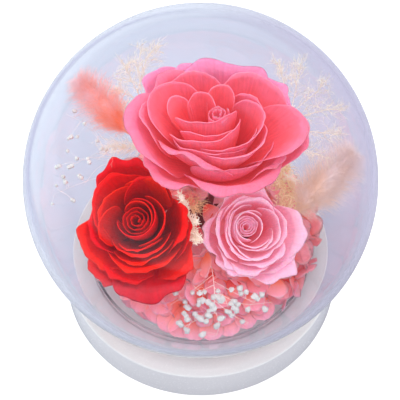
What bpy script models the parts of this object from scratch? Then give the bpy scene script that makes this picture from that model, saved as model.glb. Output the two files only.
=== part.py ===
"""Preserved roses under a blown glass globe on a low round stand.

Metres, +Z up. The origin is the middle of the stand's underside.
"""

import math
from collections import namedtuple

import bmesh
import bpy
import numpy as np
from mathutils import Matrix, Vector

OBJECT_NAME = "preserved_rose_in_glass_dome"
MM = 0.001
TOUCH_GAP = 0.0003

# Stand
STAND_HEIGHT = 0.0176
STAND_TOP_RADIUS = 0.0636
STAND_FOOT_RADIUS = 0.0650
STAND_EDGE = 0.0008
PLATFORM_RADIUS = 0.0452
PLATFORM_RISE = 0.0033
PLATFORM_TOP = STAND_HEIGHT + PLATFORM_RISE
GROOVE_DEPTH = 0.0020
STAND_STEPS = 28

# Glass globe
GLOBE_RADIUS = 0.0750
GLASS_WALL = 0.0025
GLOBE_CENTRE = 0.0791
NECK_RADIUS = 0.0532
NECK_FOOT = STAND_HEIGHT - GROOVE_DEPTH + TOUCH_GAP
NECK_FILLET = 0.0020
GLOBE_STEPS = 28
GLOBE_RINGS = 12

# Flower foam
FOAM_RADIUS = 0.0320
FOAM_HEIGHT = 0.0240
FOAM_STEPS = 14
FOAM_SLOPES = (60, 35, 12)

# Stems
STEM_RISE = 0.003
STEM_SEAT = 0.0009
ROSE_STEM_RADIUS = 0.0012
ROSE_STEM_TOP_RADIUS = 0.0020
ROSE_STEM_CLEARANCE = 0.0019
CALYX_DEPTH = 0.0030
CALYX_TAPER = 0.8

# Petals
PETAL_WALL = 0.0005
RING_STEP = 0.75
RING_DROP = 0.3
INNER_RING = 3.6
BELLY_HEIGHT = 0.42
BELLY_RADIUS = 8.0
BELLY_STEP = 1.9
BELLY_SHARE = 0.4
FLARE_RISE = 0.75
BODY_SHARE = 0.80
WIDEST = 0.60
FOOT_WIDTH = 0.75
END_WIDTH = 0.62
FOOT_SPREAD = 0.75
LIP_TAPER = 0.6
HEART_FOOT = 0.55
LONG_LIP = 2.5
COLUMNS = 5
BODY_ROWS = {False: 2, True: 3}
LIP_ROWS = {False: 1, True: 2}
HEART_STEPS = 7
HEART_START = 1.1
HEART_PITCH = 5.0
HEART_SLOPE = (0.2, -1.2)
RIM_DROP_POWER = 2.6
RIM_SAMPLES = 9

Petal = namedtuple("Petal", "centre radius sweep heights ring lip belly ruffle foot")


def petal(centre, radius, sweep, heights, ring, lip=(2.0, 40.0), belly=1.0, ruffle=(0.0, 2.0, 0.0),
          foot=None):
    """One petal by its rim, in millimetres and degrees, seen from above the rose.

    The rim is an arc about centre, from the first to the last angle of sweep. Its heights at the
    first end, the middle and the last end are below or above the top of the heart. The ring counts
    outward from the heart. The lip has a length and the angle that it rolls outward through.
    """
    return Petal(centre, radius, sweep, heights, ring, lip, belly, ruffle, foot)


LARGE_ROSE_PETALS = [
    petal((-15.0, 3.0), 4.5, (30, 200), (-6, 0, -6), 0, lip=(1.0, 40), foot=(146, 182)),
    petal((-6.5, 2.5), 5.5, (30, 137), (-5, 1, -5), 0, lip=(1.0, 40), foot=(105, 145)),
    petal((1.5, 7.0), 5.2, (8, 164), (-5, 1, -5), 0, lip=(1.0, 40), foot=(50, 100)),
    petal((-6.0, 10.0), 15.5, (226, 326), (-3, 0, -3), 0, lip=(1.5, 50), ruffle=(0.4, 3, 0)),
    petal((9.0, -2.5), 9.3, (-92, 112), (-9, 0, -5), 2, lip=(1.5, 50), foot=(-55, 50)),
    petal((-6.0, 2.0), 15.5, (216, 350), (-8, -2, -6), 1, lip=(1.5, 40), ruffle=(0.3, 3, 1)),
    petal((4.5, -5.0), 15.0, (220, 378), (-9, -3, -7), 3, lip=(1.8, 60), ruffle=(0.3, 3, 2)),
    petal((-15.5, 3.0), 11.5, (30, 250), (-7, 1, -9), 1, lip=(1.5, 50), foot=(120, 202)),
    petal((-17.0, 1.0), 12.3, (134, 228), (-10, -2, -12), 5, lip=(2.0, 60), ruffle=(0.3, 2, 0)),
    petal((-9.0, 3.0), 16.3, (50, 134), (-8, 0, -8), 2, lip=(1.8, 50), ruffle=(0.4, 2, 1)),
    petal((11.0, 0.0), 18.3, (22, 122), (-9, -1, -9), 5, lip=(2.5, 60), ruffle=(0.4, 2, 0)),
    petal((15.0, 32.5), 55.0, (226.5, 258), (-11, -7.5, -11), 4, lip=(5.5, 110), ruffle=(0.3, 2, 0)),
    petal((20.0, -5.0), 13.0, (-122, 100), (-12, -3, -8), 4, lip=(3.0, 60), belly=0.88, foot=(-52, 22)),
    petal((1.0, 3.0), 24.5, (26, 145), (-15, -7, -15), 6.8, lip=(8.0, 85), ruffle=(0.8, 3, 0)),
    petal((-10.0, -5.0), 18.5, (190, 270), (-19, -16, -20), 6.8, lip=(5.0, 110), belly=0.95,
          ruffle=(0.5, 2, 0)),
    petal((5.0, -3.0), 23.0, (226, 334), (-18, -14, -18), 7.6, lip=(6.5, 110), belly=0.88,
          ruffle=(0.4, 2, 1), foot=(227, 338)),
    petal((-10.0, 0.0), 22.0, (124, 238), (-15, -7, -14), 6, lip=(6.5, 100), ruffle=(0.5, 2, 2)),
    petal((-18.0, 18.0), 11.0, (80, 198), (-17, -9, -17), 7, lip=(3.0, 60), ruffle=(0.4, 2, 0)),
    petal((21.5, -2.5), 13.9, (-66, 66), (-19, -10, -17), 6, lip=(3.0, 60), ruffle=(0.5, 3, 0)),
]

RED_ROSE_PETALS = [
    petal((0.0, 0.9), 8.2, (-182, 116), (-5, 0, -5), 1, lip=(1.0, 35), foot=(-120, 80)),
    petal((1.4, 0.2), 10.6, (-98, 80), (-6, -1, -6), 2, lip=(1.2, 40)),
    petal((-5.0, -3.0), 10.2, (112, 222), (-6, -2, -6), 2, lip=(1.2, 40)),
    petal((4.8, 7.4), 10.2, (6, 172), (-8.5, -4.5, -8.5), 3, lip=(1.5, 50), foot=(35, 115)),
    petal((1.0, -1.0), 13.6, (212, 338), (-8, -3, -8), 3, lip=(2.0, 70)),
    petal((-2.0, 4.0), 16.0, (72, 222), (-10, -4, -11), 4, lip=(2.0, 60)),
    petal((2.0, -2.0), 18.0, (210, 328), (-13, -6, -12), 5, lip=(3.0, 80)),
    petal((3.5, -0.5), 15.6, (-55, 40), (-12, -5, -12), 4.4, lip=(4.0, 100)),
    petal((-6.5, -4.0), 17.0, (144, 262), (-17, -9, -17), 6, lip=(5.0, 90)),
    petal((3.0, -9.0), 20.0, (212, 334), (-18, -12, -18), 7, lip=(6.0, 90)),
    petal((-3.0, 6.0), 18.0, (36, 164), (-17, -9, -17), 7, lip=(3.5, 80)),
]

PALE_ROSE_PETALS = [
    petal((-0.5, -0.5), 6.4, (-70, 142), (-4, 0, -4), 0, lip=(0.8, 30)),
    petal((6.0, -1.0), 13.4, (150, 266), (-6, -1, -6), 1, lip=(1.0, 40)),
    petal((4.0, -1.0), 9.3, (-82, 80), (-5, -1, -5), 1, lip=(1.0, 40)),
    petal((2.0, 0.0), 11.2, (14, 156), (-7, -2, -7), 2, lip=(1.5, 50)),
    petal((3.0, -1.0), 15.2, (136, 240), (-9, -3, -9), 3, lip=(2.0, 60)),
    petal((6.0, 0.0), 20.0, (206, 266), (-11, -6, -11), 4, lip=(2.0, 50)),
    petal((6.0, -6.0), 15.8, (266, 343), (-12, -6, -12), 5, lip=(3.0, 60), ruffle=(0.5, 2, 0)),
    petal((5.0, -2.0), 15.5, (-52, 50), (-12, -5, -12), 3, lip=(4.0, 80)),
    petal((1.0, 0.5), 14.8, (44, 148), (-12, -6, -12), 4, lip=(4.0, 80)),
    petal((-2.0, -3.0), 14.0, (138, 226), (-12, -8, -12), 5, lip=(3.0, 80)),
]

Rose = namedtuple("Rose", "name place lean petals heart foot stem")

# Place of the heart's top, lean of the axis in degrees about X and Y, the heart's middle and radius,
# depth of the innermost petals' foot, and where the stem meets the foam.
ROSES = [
    Rose("large_rose", (0.0067, 0.0080, 0.1160), (0, 0), LARGE_ROSE_PETALS, (0.3, 0.3, 4.0), 32.0,
         (0.004, 0.006)),
    Rose("red_rose", (-0.0271, -0.0205, 0.0810), (24, -5), RED_ROSE_PETALS, (0.3, 0.0, 5.4), 27.0,
         (-0.016, -0.006)),
    Rose("pale_rose", (0.0201, -0.0184, 0.0720), (26, 3), PALE_ROSE_PETALS, (-0.5, 0.5, 3.7), 22.0,
         (0.0190, -0.0042)),
]


# Fillers: each branch is a list of points in millimetres, from the foam or the fork to its tip
Spray = namedtuple("Spray", "name stalk branches thickness tip")
BRANCH_SHARE = 0.7
TIP_LENGTH = 1.2
TIP_TAPER = 0.4

SPRAYS = [
    Spray("babys_breath_front", [(4, -20, None), (5, -27, 50), (6, -38, 50), (6, -45, 43)], [
        [(5.3, -30, 50), (-4, -37, 48), (-13, -41, 43)],
        [(6, -42, 46), (0, -46, 41), (-7, -49, 37)],
        [(5.7, -35, 50), (0, -38, 51), (-3, -37, 53)],
        [(5.8, -36, 50), (10, -40, 49), (12, -44, 46)],
        [(5.5, -33, 50), (16, -39, 49), (23, -42, 47)],
        [(6, -38, 50), (18, -42, 46), (31, -40, 43)],
        [(6, -41, 47), (14, -46, 43), (21, -48, 39)],
        [(6, -43, 45), (8, -49, 40), (7, -52, 34)],
    ], 0.45, 1.15),
    Spray("babys_breath_left", [(-17, 7, None), (-21, 11, 60), (-34, 15, 72), (-44, 14, 80)], [
        [(-29, 13.5, 67.4), (-44, 8, 70), (-56, 0, 74), (-61, -5, 77)],
        [(-34, 15, 72), (-44, 10, 75), (-50, -1, 77)],
        [(-38, 14.7, 75), (-48, 10, 82), (-53, 4, 86)],
        [(-40, 14.5, 77), (-48, 20, 90), (-57, 22, 97)],
        [(-41, 14.4, 78), (-46, 20, 90), (-48, 23, 96)],
        [(-43, 14, 79.5), (-45, 15, 84), (-45, 16, 88)],
    ], 0.40, 0.95),
    Spray("bleached_fern_left", [(-8, 17, None), (-18, 30, 62), (-26, 38, 84), (-28, 40, 92)], [
        [(-25, 37, 81), (-27, 44, 97), (-26, 50, 108)],
        [(-27, 39, 88), (-31, 42, 98), (-33, 42, 106)],
        [(-26, 38, 84), (-34, 38, 92), (-40, 33, 99)],
        [(-27.5, 39.5, 91), (-24, 46, 102), (-19, 48, 111)],
        [(-24, 36, 78), (-36, 34, 84), (-44, 29, 90)],
    ], 0.55, 0.30),
    Spray("bleached_fern_right", [(12, 16, None), (26, 28, 62), (38, 32, 82), (41, 32, 90)], [
        [(40, 32, 87), (42, 38, 101), (43, 40, 110)],
        [(38, 32, 82), (50, 34, 97), (53, 33, 106)],
        [(36, 31.5, 79), (54, 28, 92), (61, 22, 100)],
        [(34, 31, 75), (52, 22, 84), (59, 14, 93)],
        [(30, 29.5, 69), (46, 20, 74), (54, 9, 83)],
        [(39, 32, 85), (36, 40, 97), (34, 43, 105)],
        [(28, 28.8, 66), (36, 12, 68), (39, 4, 76)],
    ], 0.55, 0.30),
    Spray("dried_sprig", [(-3, -8, None), (-5, -12, 62), (-5.6, -11.8, 74), (-8.6, -9.6, 83)], [
        [(-5.4, -11.9, 70), (-4, -17, 74), (-2.5, -20, 78)],
        [(-5.3, -12.3, 65), (-3, -20, 69), (-1, -25, 73)],
        [(-5, -12, 62.5), (-4.5, -20, 66), (-3, -26, 71)],
    ], 0.60, 0.45),
]

# Bunny tails and the strawflower: (x, y, height, radius) in millimetres from the foam to the tip
HEADS = {
    "bunny_tail_left": [(-13, 13, None, 0.6), (-21, 19, 70, 0.6), (-31, 19, 88, 1.2), (-36, 22, 92.5, 4.6),
                        (-41, 25.5, 97, 5.4), (-47, 30, 102, 4.2), (-52, 33.5, 106, 1.2)],
    "bunny_tail_right": [(20, 6, None, 0.6), (33, 3, 54, 0.6), (42, -4, 61, 1.6), (47, -1, 66, 6.2),
                         (53, 2, 72, 7.4), (60, 6, 79, 5.6), (66, 9.5, 85, 1.6)],
    "strawflower": [(-1, -2, None, 0.6), (-3, -3, 58, 0.6), (-4.5, -4, 68, 1.4), (-5, -4.5, 71, 4.2),
                    (-5, -5, 74, 4.0), (-5, -5.2, 75.5, 2.0)],
}

# Hydrangea: first and last bearing of each head in degrees, distance of its middle from the
# upright axis, and the seed of its florets
HYDRANGEAS = {
    "hydrangea_front": (206, 313, 0.0255, 3),
    "hydrangea_right": (317, 424, 0.0325, 5),
    "hydrangea_back": (71, 199, 0.0285, 8),
}
HEAD_WIDTH = 0.0185
HEAD_HEIGHT = 0.0120
HEAD_MIDDLE = 0.0340
HEAD_WALL = 0.0050
HEAD_TURNS = (-40.0, -5.0, 28.0, 60.0, 85.0)
HEAD_COLUMNS = 10
FLORETS = 12
FLORET_TURNS = (-12.0, 38.0, 12.0)
FLORET_RADIUS = 0.0090
FLORET_RISE = 0.0020
FLORET_NOTCH = 0.25
FLORET_SPREAD = 4.0


def clear_scene():
    for thing in list(bpy.data.objects):
        bpy.data.objects.remove(thing, do_unlink=True)


def material(name, colour, roughness, metallic=0.0, transmission=0.0):
    made = bpy.data.materials.new(name)
    made.use_nodes = True
    shader = made.node_tree.nodes["Principled BSDF"]
    shader.inputs["Base Color"].default_value = (*colour, 1.0)
    shader.inputs["Roughness"].default_value = roughness
    shader.inputs["Metallic"].default_value = metallic
    shader.inputs["Transmission Weight"].default_value = transmission
    made.diffuse_color = (*colour, 1.0)
    return made


def add_object(name, mesh, look, parent=None):
    made = bpy.data.objects.new(name, mesh)
    PARTS.objects.link(made)
    if look:
        mesh.materials.append(look)
    made.parent = parent
    return made


def turned(name, profile, steps, look):
    """A profile of (radius, height) points, down its outer side, turned about the upright axis."""
    mesh = bpy.data.meshes.new(name)
    mesh.from_pydata([(r, 0.0, z) for r, z in profile], [(i, i + 1) for i in range(len(profile) - 1)], [])
    made = add_object(name, mesh, look)
    screw = made.modifiers.new("turn", "SCREW")
    screw.steps = steps
    screw.render_steps = steps
    screw.use_merge_vertices = True
    screw.merge_threshold = 0.00001
    screw.use_smooth_shade = True
    return made


def arc(centre_r, centre_z, radius, first, last, steps):
    """Points on a circle in the profile's plane, angles in degrees from the outward direction."""
    angles = [math.radians(first + (last - first) * i / steps) for i in range(steps + 1)]
    return [(centre_r + radius * math.cos(a), centre_z + radius * math.sin(a)) for a in angles]


def make_stand(look):
    edge = STAND_EDGE
    groove_out = NECK_RADIUS + TOUCH_GAP
    groove_in = NECK_RADIUS - GLASS_WALL - TOUCH_GAP
    groove_floor = STAND_HEIGHT - GROOVE_DEPTH
    profile = [(0.0, PLATFORM_TOP)]
    profile += arc(PLATFORM_RADIUS - edge, PLATFORM_TOP - edge, edge, 90, 0, 1)
    profile += [(PLATFORM_RADIUS, STAND_HEIGHT), (groove_in, STAND_HEIGHT), (groove_in, groove_floor)]
    profile += [(groove_out, groove_floor), (groove_out, STAND_HEIGHT)]
    profile += arc(STAND_TOP_RADIUS - edge, STAND_HEIGHT - edge, edge, 90, 0, 1)
    profile += arc(STAND_FOOT_RADIUS - edge, edge, edge, 0, -90, 1)
    profile += [(0.0, 0.0)]
    return turned("base", profile, STAND_STEPS, look)


def globe_side(radius, neck, fillet):
    """One side of the glass: the globe from its top to the neck, a fillet, and the neck down to its foot."""
    reach = radius + fillet
    drop = math.asin((neck + fillet) / reach)
    junction = GLOBE_CENTRE - reach * math.cos(drop)
    last = -90.0 + math.degrees(drop)
    side = arc(0.0, GLOBE_CENTRE, radius, 90, last, GLOBE_RINGS)
    side[0] = (0.0, side[0][1])
    side += arc(neck + fillet, junction, fillet, 180 + last, 180, 2)[1:]
    return side + [(neck, NECK_FOOT)]


def make_globe(look):
    outer = globe_side(GLOBE_RADIUS, NECK_RADIUS, NECK_FILLET)
    inner = globe_side(GLOBE_RADIUS - GLASS_WALL, NECK_RADIUS - GLASS_WALL, NECK_FILLET + GLASS_WALL)
    return turned("glass_dome", outer + inner[::-1], GLOBE_STEPS, look)


def make_foam(look):
    profile = [(0.0, PLATFORM_TOP + TOUCH_GAP + FOAM_HEIGHT)]
    for degrees in FOAM_SLOPES:
        angle = math.radians(degrees)
        height = PLATFORM_TOP + TOUCH_GAP + FOAM_HEIGHT * math.sin(angle)
        profile.append((FOAM_RADIUS * math.cos(angle), height))
    profile += [(FOAM_RADIUS, PLATFORM_TOP + TOUCH_GAP), (0.0, PLATFORM_TOP + TOUCH_GAP)]
    return turned("flower_foam", profile, FOAM_STEPS, look)


def foam_height(x, y):
    """Height of the foam's dome over a point of the platform."""
    away = min(math.hypot(x, y) / FOAM_RADIUS, 1.0)
    return PLATFORM_TOP + TOUCH_GAP + FOAM_HEIGHT * math.sqrt(1.0 - away * away)


def unit(vectors):
    return vectors / np.maximum(np.linalg.norm(vectors, axis=-1, keepdims=True), 1e-9)


def petal_width(way):
    """Share of the full width at a share of the way along a petal: narrow at the foot, round at the end."""
    widening = FOOT_WIDTH + (1 - FOOT_WIDTH) * np.sin(np.minimum(way / WIDEST, 1.0) * math.pi / 2)
    past = np.clip((way - WIDEST) / (1 - WIDEST), 0.0, 1.0)
    return widening * np.sqrt(1 - (1 - END_WIDTH ** 2) * past ** 2)


def petal_surface(shape, foot_depth, columns, body_rows, lip_rows):
    """Points of an open petal in metres, a row for each step from its foot to its lip.

    Each strand is a quadratic Bezier from an arc at the rose's foot to the rim's arc. Its middle
    point lies under the rim, drawn towards a circle that widens with the ring. The lip carries on
    as a part of a circle that rolls away from the rim's centre, less towards the petal's sides.
    Waves across the petal grow with the cube of the way along it.
    """
    body_way = BODY_SHARE * np.linspace(0.0, 1.0, body_rows + 1)
    lip_way = np.linspace(BODY_SHARE, 1.0, lip_rows + 1)[1:]
    way = np.concatenate([body_way, lip_way])[:, None]
    side = np.linspace(-1.0, 1.0, columns + 1)[None, :]
    across = petal_width(way) * side
    first, last = np.radians(shape.sweep)
    angle = (first + last) / 2 + across * (last - first) / 2
    level = np.zeros_like(angle)
    outward = np.stack([np.cos(angle), np.sin(angle), level], axis=-1)
    end_height = np.where(across < 0, shape.heights[0], shape.heights[2])
    rim = np.array([*shape.centre, 0.0]) + shape.radius * outward
    rim[..., 2] = shape.heights[1] + (end_height - shape.heights[1]) * np.abs(across) ** RIM_DROP_POWER
    if shape.foot:
        low, high = np.radians(shape.foot)
        foot_angle = (low + high) / 2 + across * (high - low) / 2
    else:
        ends = [np.array(shape.centre) + shape.radius * np.array([math.cos(a), math.sin(a)])
                for a in np.linspace(first, last, RIM_SAMPLES)]
        bearing = np.unwrap([math.atan2(y, x) for x, y in ends])
        foot_angle = bearing[RIM_SAMPLES // 2] + FOOT_SPREAD * across * (bearing[-1] - bearing[0]) / 2
    foot_radius = INNER_RING + RING_STEP * shape.ring
    foot_height = level - foot_depth - RING_DROP * shape.ring
    foot = np.stack([foot_radius * np.cos(foot_angle), foot_radius * np.sin(foot_angle), foot_height],
                    axis=-1)
    reach = np.hypot(rim[..., 0], rim[..., 1])
    nested = BELLY_RADIUS + BELLY_STEP * shape.ring
    pull = shape.belly * (BELLY_SHARE + (1 - BELLY_SHARE) * nested / np.maximum(reach, 1.0))
    belly = rim * pull[..., None]
    rise = BELLY_HEIGHT + FLARE_RISE * (1 - shape.belly)
    belly[..., 2] = foot_height + (rim[..., 2] - foot_height) * rise
    v = np.minimum(way / BODY_SHARE, 1.0)[..., None]
    strand = (1 - v) ** 2 * foot + 2 * v * (1 - v) * belly + v ** 2 * rim
    upward = unit(rim - belly)
    away = unit(outward - upward * np.sum(outward * upward, axis=-1, keepdims=True))
    roll = math.radians(shape.lip[1])
    turn = np.maximum(way - BODY_SHARE, 0.0)[..., None] / (1 - BODY_SHARE) * roll
    size = shape.lip[0] / roll * (1 - LIP_TAPER * np.abs(side) ** 3)[..., None]
    lip = size * (np.sin(turn) * upward + (1 - np.cos(turn)) * away)
    amount, waves, phase = shape.ruffle
    wave = (amount * np.sin(math.pi * waves * across + phase) * way ** 3)[..., None]
    return (strand + lip + wave * (away + 0.6 * upward)) * MM


def heart_surface(centre_x, centre_y, radius, foot_depth):
    """Points of the rolled heart: a sheet wound outward about its own axis, narrower at its foot."""
    turns = 1.0 + radius / HEART_PITCH
    u = np.linspace(0.0, 1.0, round(HEART_STEPS * turns) + 1)
    wound = HEART_START + (radius - HEART_START) * u
    angle = 2 * math.pi * turns * u - math.pi / 3
    v = np.linspace(0.0, 1.0, 3)[:, None]
    reach = wound * (HEART_FOOT + (1 - HEART_FOOT) * np.sin(math.pi / 2 * v))
    across = centre_x * v + reach * np.cos(angle)
    along = centre_y * v + reach * np.sin(angle)
    height = -foot_depth * (1 - v) + (HEART_SLOPE[0] + HEART_SLOPE[1] * u) * v
    return np.stack([across, along, np.broadcast_to(height, across.shape)], axis=-1) * MM


def sheet_mesh(name, rows):
    """A four-sided mesh on rows of points, its faces towards the left of the direction of a row."""
    count, width = rows.shape[:2]
    index = np.arange(count * width).reshape(count, width)
    quads = np.stack([index[:-1, :-1], index[:-1, 1:], index[1:, 1:], index[1:, :-1]], axis=-1)
    mesh = bpy.data.meshes.new(name)
    mesh.from_pydata(rows.reshape(-1, 3).tolist(), [], quads.reshape(-1, 4).tolist())
    mesh.shade_smooth()
    return mesh


def add_sheet(name, rows, wall, look, parent=None):
    made = add_object(name, sheet_mesh(name, rows), look, parent)
    thick = made.modifiers.new("wall", "SOLIDIFY")
    thick.thickness = wall
    thick.offset = 0.0
    return made


def add_stalk(name, points, radii, look, parent=None, sides=2):
    """A closed round stalk through the points, with its own radius at each."""
    curve = bpy.data.curves.new(name, "CURVE")
    curve.dimensions = "3D"
    curve.bevel_depth = 1.0
    curve.bevel_resolution = sides
    curve.use_fill_caps = True
    spline = curve.splines.new("POLY")
    spline.points.add(len(points) - 1)
    for slot, place, radius in zip(spline.points, points, radii):
        slot.co = (*place, 1.0)
        slot.radius = radius
    return add_object(name, curve, look, parent)


def stalk_mesh(points, radii):
    """The same stalk as a closed mesh, for joining."""
    curve_object = add_stalk("branch", points, radii, None, sides=0)
    graph = bpy.context.evaluated_depsgraph_get()
    mesh = bpy.data.meshes.new_from_object(curve_object.evaluated_get(graph))
    bpy.data.objects.remove(curve_object, do_unlink=True)
    worked = bmesh.new()
    worked.from_mesh(mesh)
    bmesh.ops.remove_doubles(worked, verts=worked.verts, dist=0.000001)
    bmesh.ops.recalc_face_normals(worked, faces=worked.faces)
    worked.to_mesh(mesh)
    worked.free()
    mesh.shade_smooth()
    return mesh


def on_foam(point):
    """A point in metres, its height taken from the foam's surface where it is left open."""
    x, y, z = point[0] * MM, point[1] * MM, point[2]
    return Vector((x, y, foam_height(x, y) + STEM_SEAT if z is None else z * MM))


def make_spray(spray, look):
    """A stalk from the foam with thinner branches joined to it, each with a small swelling at its tip."""
    thick, tip = spray.thickness * MM, spray.tip * MM
    stalk = [on_foam(point) for point in spray.stalk]
    rise = stalk[0] + Vector((0.0, 0.0, STEM_RISE))
    radii = [thick] * len(stalk) + [BRANCH_SHARE * thick]
    made = add_object(spray.name, stalk_mesh([stalk[0], rise, *stalk[1:]], radii), look)
    branches = bpy.data.collections.new(spray.name + "_branches")
    CUTTERS.children.link(branches)
    for number, points in enumerate(spray.branches, 1):
        places = [on_foam(point) for point in points]
        end = places[-1] + (places[-1] - places[-2]).normalized() * TIP_LENGTH * tip
        radii = [BRANCH_SHARE * thick] * (len(places) - 1) + [tip, TIP_TAPER * tip]
        branch = bpy.data.objects.new(f"{spray.name}_branch_{number}", stalk_mesh([*places, end], radii))
        branches.objects.link(branch)
        branch.hide_render = True
        branch.display_type = "WIRE"
    joined = made.modifiers.new("branches", "BOOLEAN")
    joined.operation = "UNION"
    joined.operand_type = "COLLECTION"
    joined.collection = branches
    joined.solver = "EXACT"
    return made


def make_head(name, stations, look):
    """A soft grass head or a small flower in one with its stalk."""
    places = [on_foam(station[:3]) for station in stations]
    rise = places[0] + Vector((0.0, 0.0, STEM_RISE))
    radii = [station[3] * MM for station in stations]
    return add_stalk(name, [places[0], rise, *places[1:]], [radii[0], *radii], look)


def hydrangea_surface(first, last, middle, seed, turns, columns):
    """Outside of a hydrangea head: an oval about a ring around the foam, raised in florets of four lobes.

    A floret's rise falls off with the square of the distance from its middle, over a radius that
    swells and shrinks four times around it. The first row stands on the platform.
    """
    bearing = np.radians(np.linspace(first, last, columns))[None, :]
    turn = np.radians(np.array(turns))[:, None]
    spread = np.random.default_rng(seed)
    rise = np.zeros((turn.size, bearing.size))
    for number in range(FLORETS):
        along = first + (last - first) * (number + 0.5) / FLORETS
        floret_bearing = math.radians(along + spread.uniform(-FLORET_SPREAD, FLORET_SPREAD))
        floret_turn = math.radians(FLORET_TURNS[number % 3] + spread.uniform(-FLORET_SPREAD, FLORET_SPREAD))
        right = (bearing - floret_bearing) * (middle + HEAD_WIDTH * np.cos(turn))
        up = (turn - floret_turn) * (HEAD_WIDTH + HEAD_HEIGHT) / 2
        lobes = FLORET_RADIUS * (1 - FLORET_NOTCH * (1 - np.cos(4 * np.arctan2(up, right) + number)))
        rise = np.maximum(rise, FLORET_RISE * (1 - (right ** 2 + up ** 2) / lobes ** 2))
    away = middle + (HEAD_WIDTH + rise) * np.cos(turn)
    height = HEAD_MIDDLE + (HEAD_HEIGHT + rise) * np.sin(turn)
    away = np.vstack([away[:1], away])
    height = np.vstack([np.full_like(away[:1], PLATFORM_TOP + 2 * TOUCH_GAP), height])
    return np.stack([away * np.cos(bearing), away * np.sin(bearing), height], axis=-1)


def make_hydrangea(name, first, last, middle, seed, look):
    rows = hydrangea_surface(first, last, middle, seed, HEAD_TURNS, HEAD_COLUMNS)
    made = add_sheet(name, rows, HEAD_WALL, look)
    made.modifiers["wall"].offset = -1.0


def make_rose(rose, look, stem_look):
    """A rose on an empty at the top of its heart: the heart, the petals, and the calyx with its stem."""
    frame = bpy.data.objects.new(rose.name, None)
    PARTS.objects.link(frame)
    frame.location = rose.place
    frame.rotation_euler = [math.radians(angle) for angle in (*rose.lean, 0.0)]
    add_sheet(rose.name + "_heart", heart_surface(*rose.heart, rose.foot), PETAL_WALL, look, frame)
    for number, shape in enumerate(rose.petals, 1):
        long_lip = shape.lip[0] > LONG_LIP
        rows = petal_surface(shape, rose.foot, COLUMNS, BODY_ROWS[long_lip], LIP_ROWS[long_lip])
        add_sheet(f"{rose.name}_petal_{number:02d}", rows, PETAL_WALL, look, frame)
    outer_ring = max(shape.ring for shape in rose.petals)
    cup = (INNER_RING + RING_STEP * outer_ring) * MM
    top = -(rose.foot + RING_DROP * outer_ring) * MM - 2 * TOUCH_GAP
    matrix = Matrix.Translation(rose.place) @ frame.rotation_euler.to_matrix().to_4x4()
    landing = Vector((*rose.stem, foam_height(*rose.stem) + ROSE_STEM_CLEARANCE))
    calyx = [matrix @ Vector((0.0, 0.0, top - depth)) for depth in (0.0, CALYX_DEPTH, 2 * CALYX_DEPTH)]
    radii = [cup, CALYX_TAPER * cup, ROSE_STEM_TOP_RADIUS, ROSE_STEM_RADIUS]
    add_stalk(rose.name + "_stem", [*calyx, landing], radii, stem_look)


def main():
    white = material("white lacquer", (0.90, 0.90, 0.93), 0.25)
    glass = material("clear glass", (0.95, 0.95, 1.0), 0.02, transmission=1.0)
    foam = material("flower foam", (0.20, 0.28, 0.12), 0.9)
    coral = material("coral petal", (0.85, 0.18, 0.25), 0.6)
    red = material("red petal", (0.80, 0.01, 0.02), 0.6)
    pale = material("pale pink petal", (0.85, 0.42, 0.55), 0.6)
    blush = material("hydrangea floret", (0.85, 0.30, 0.32), 0.7)
    cream = material("bleached grass", (0.85, 0.75, 0.58), 0.8)
    peach = material("grass head", (0.90, 0.50, 0.38), 0.9)
    green = material("stem", (0.30, 0.33, 0.12), 0.7)
    make_stand(white)
    make_globe(glass)
    make_foam(foam)
    for rose, look in zip(ROSES, (coral, red, pale)):
        make_rose(rose, look, green)
    for name, head in HYDRANGEAS.items():
        make_hydrangea(name, *head, blush)
    for spray in SPRAYS:
        make_spray(spray, cream)
    for name, stations in HEADS.items():
        make_head(name, stations, peach)


clear_scene()
PARTS = bpy.data.collections.new(OBJECT_NAME)
bpy.context.scene.collection.children.link(PARTS)
CUTTERS = bpy.data.collections.new(OBJECT_NAME + "_cutters")
bpy.context.scene.collection.children.link(CUTTERS)
main()
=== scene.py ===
"""Preserved roses under a blown glass globe: fine surfaces, finishes, light and camera around the frame."""

import math
from collections import namedtuple

import bpy
import numpy as np
from mathutils import Euler, Matrix, Vector


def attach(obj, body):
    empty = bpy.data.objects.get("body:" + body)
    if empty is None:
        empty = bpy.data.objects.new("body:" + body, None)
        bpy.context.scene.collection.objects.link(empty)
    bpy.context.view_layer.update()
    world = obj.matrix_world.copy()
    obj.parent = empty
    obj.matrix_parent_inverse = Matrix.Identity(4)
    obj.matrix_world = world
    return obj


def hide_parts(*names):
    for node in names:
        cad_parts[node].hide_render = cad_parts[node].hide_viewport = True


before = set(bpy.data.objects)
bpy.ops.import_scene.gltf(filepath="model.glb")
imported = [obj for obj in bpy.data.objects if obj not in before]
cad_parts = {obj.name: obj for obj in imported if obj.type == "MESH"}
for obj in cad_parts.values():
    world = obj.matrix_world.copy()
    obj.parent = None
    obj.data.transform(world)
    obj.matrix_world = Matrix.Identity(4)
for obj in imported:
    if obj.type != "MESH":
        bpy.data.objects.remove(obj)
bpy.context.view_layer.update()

MM = 0.001
TOUCH_GAP = 0.0003

# Stand: the solids' measures, in finer steps
STAND_HEIGHT = 0.0176
STAND_TOP_RADIUS = 0.0636
STAND_FOOT_RADIUS = 0.0650
STAND_EDGE = 0.0008
PLATFORM_RADIUS = 0.0452
PLATFORM_RISE = 0.0033
PLATFORM_TOP = STAND_HEIGHT + PLATFORM_RISE
GROOVE_DEPTH = 0.0020
STAND_STEPS = 144

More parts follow.
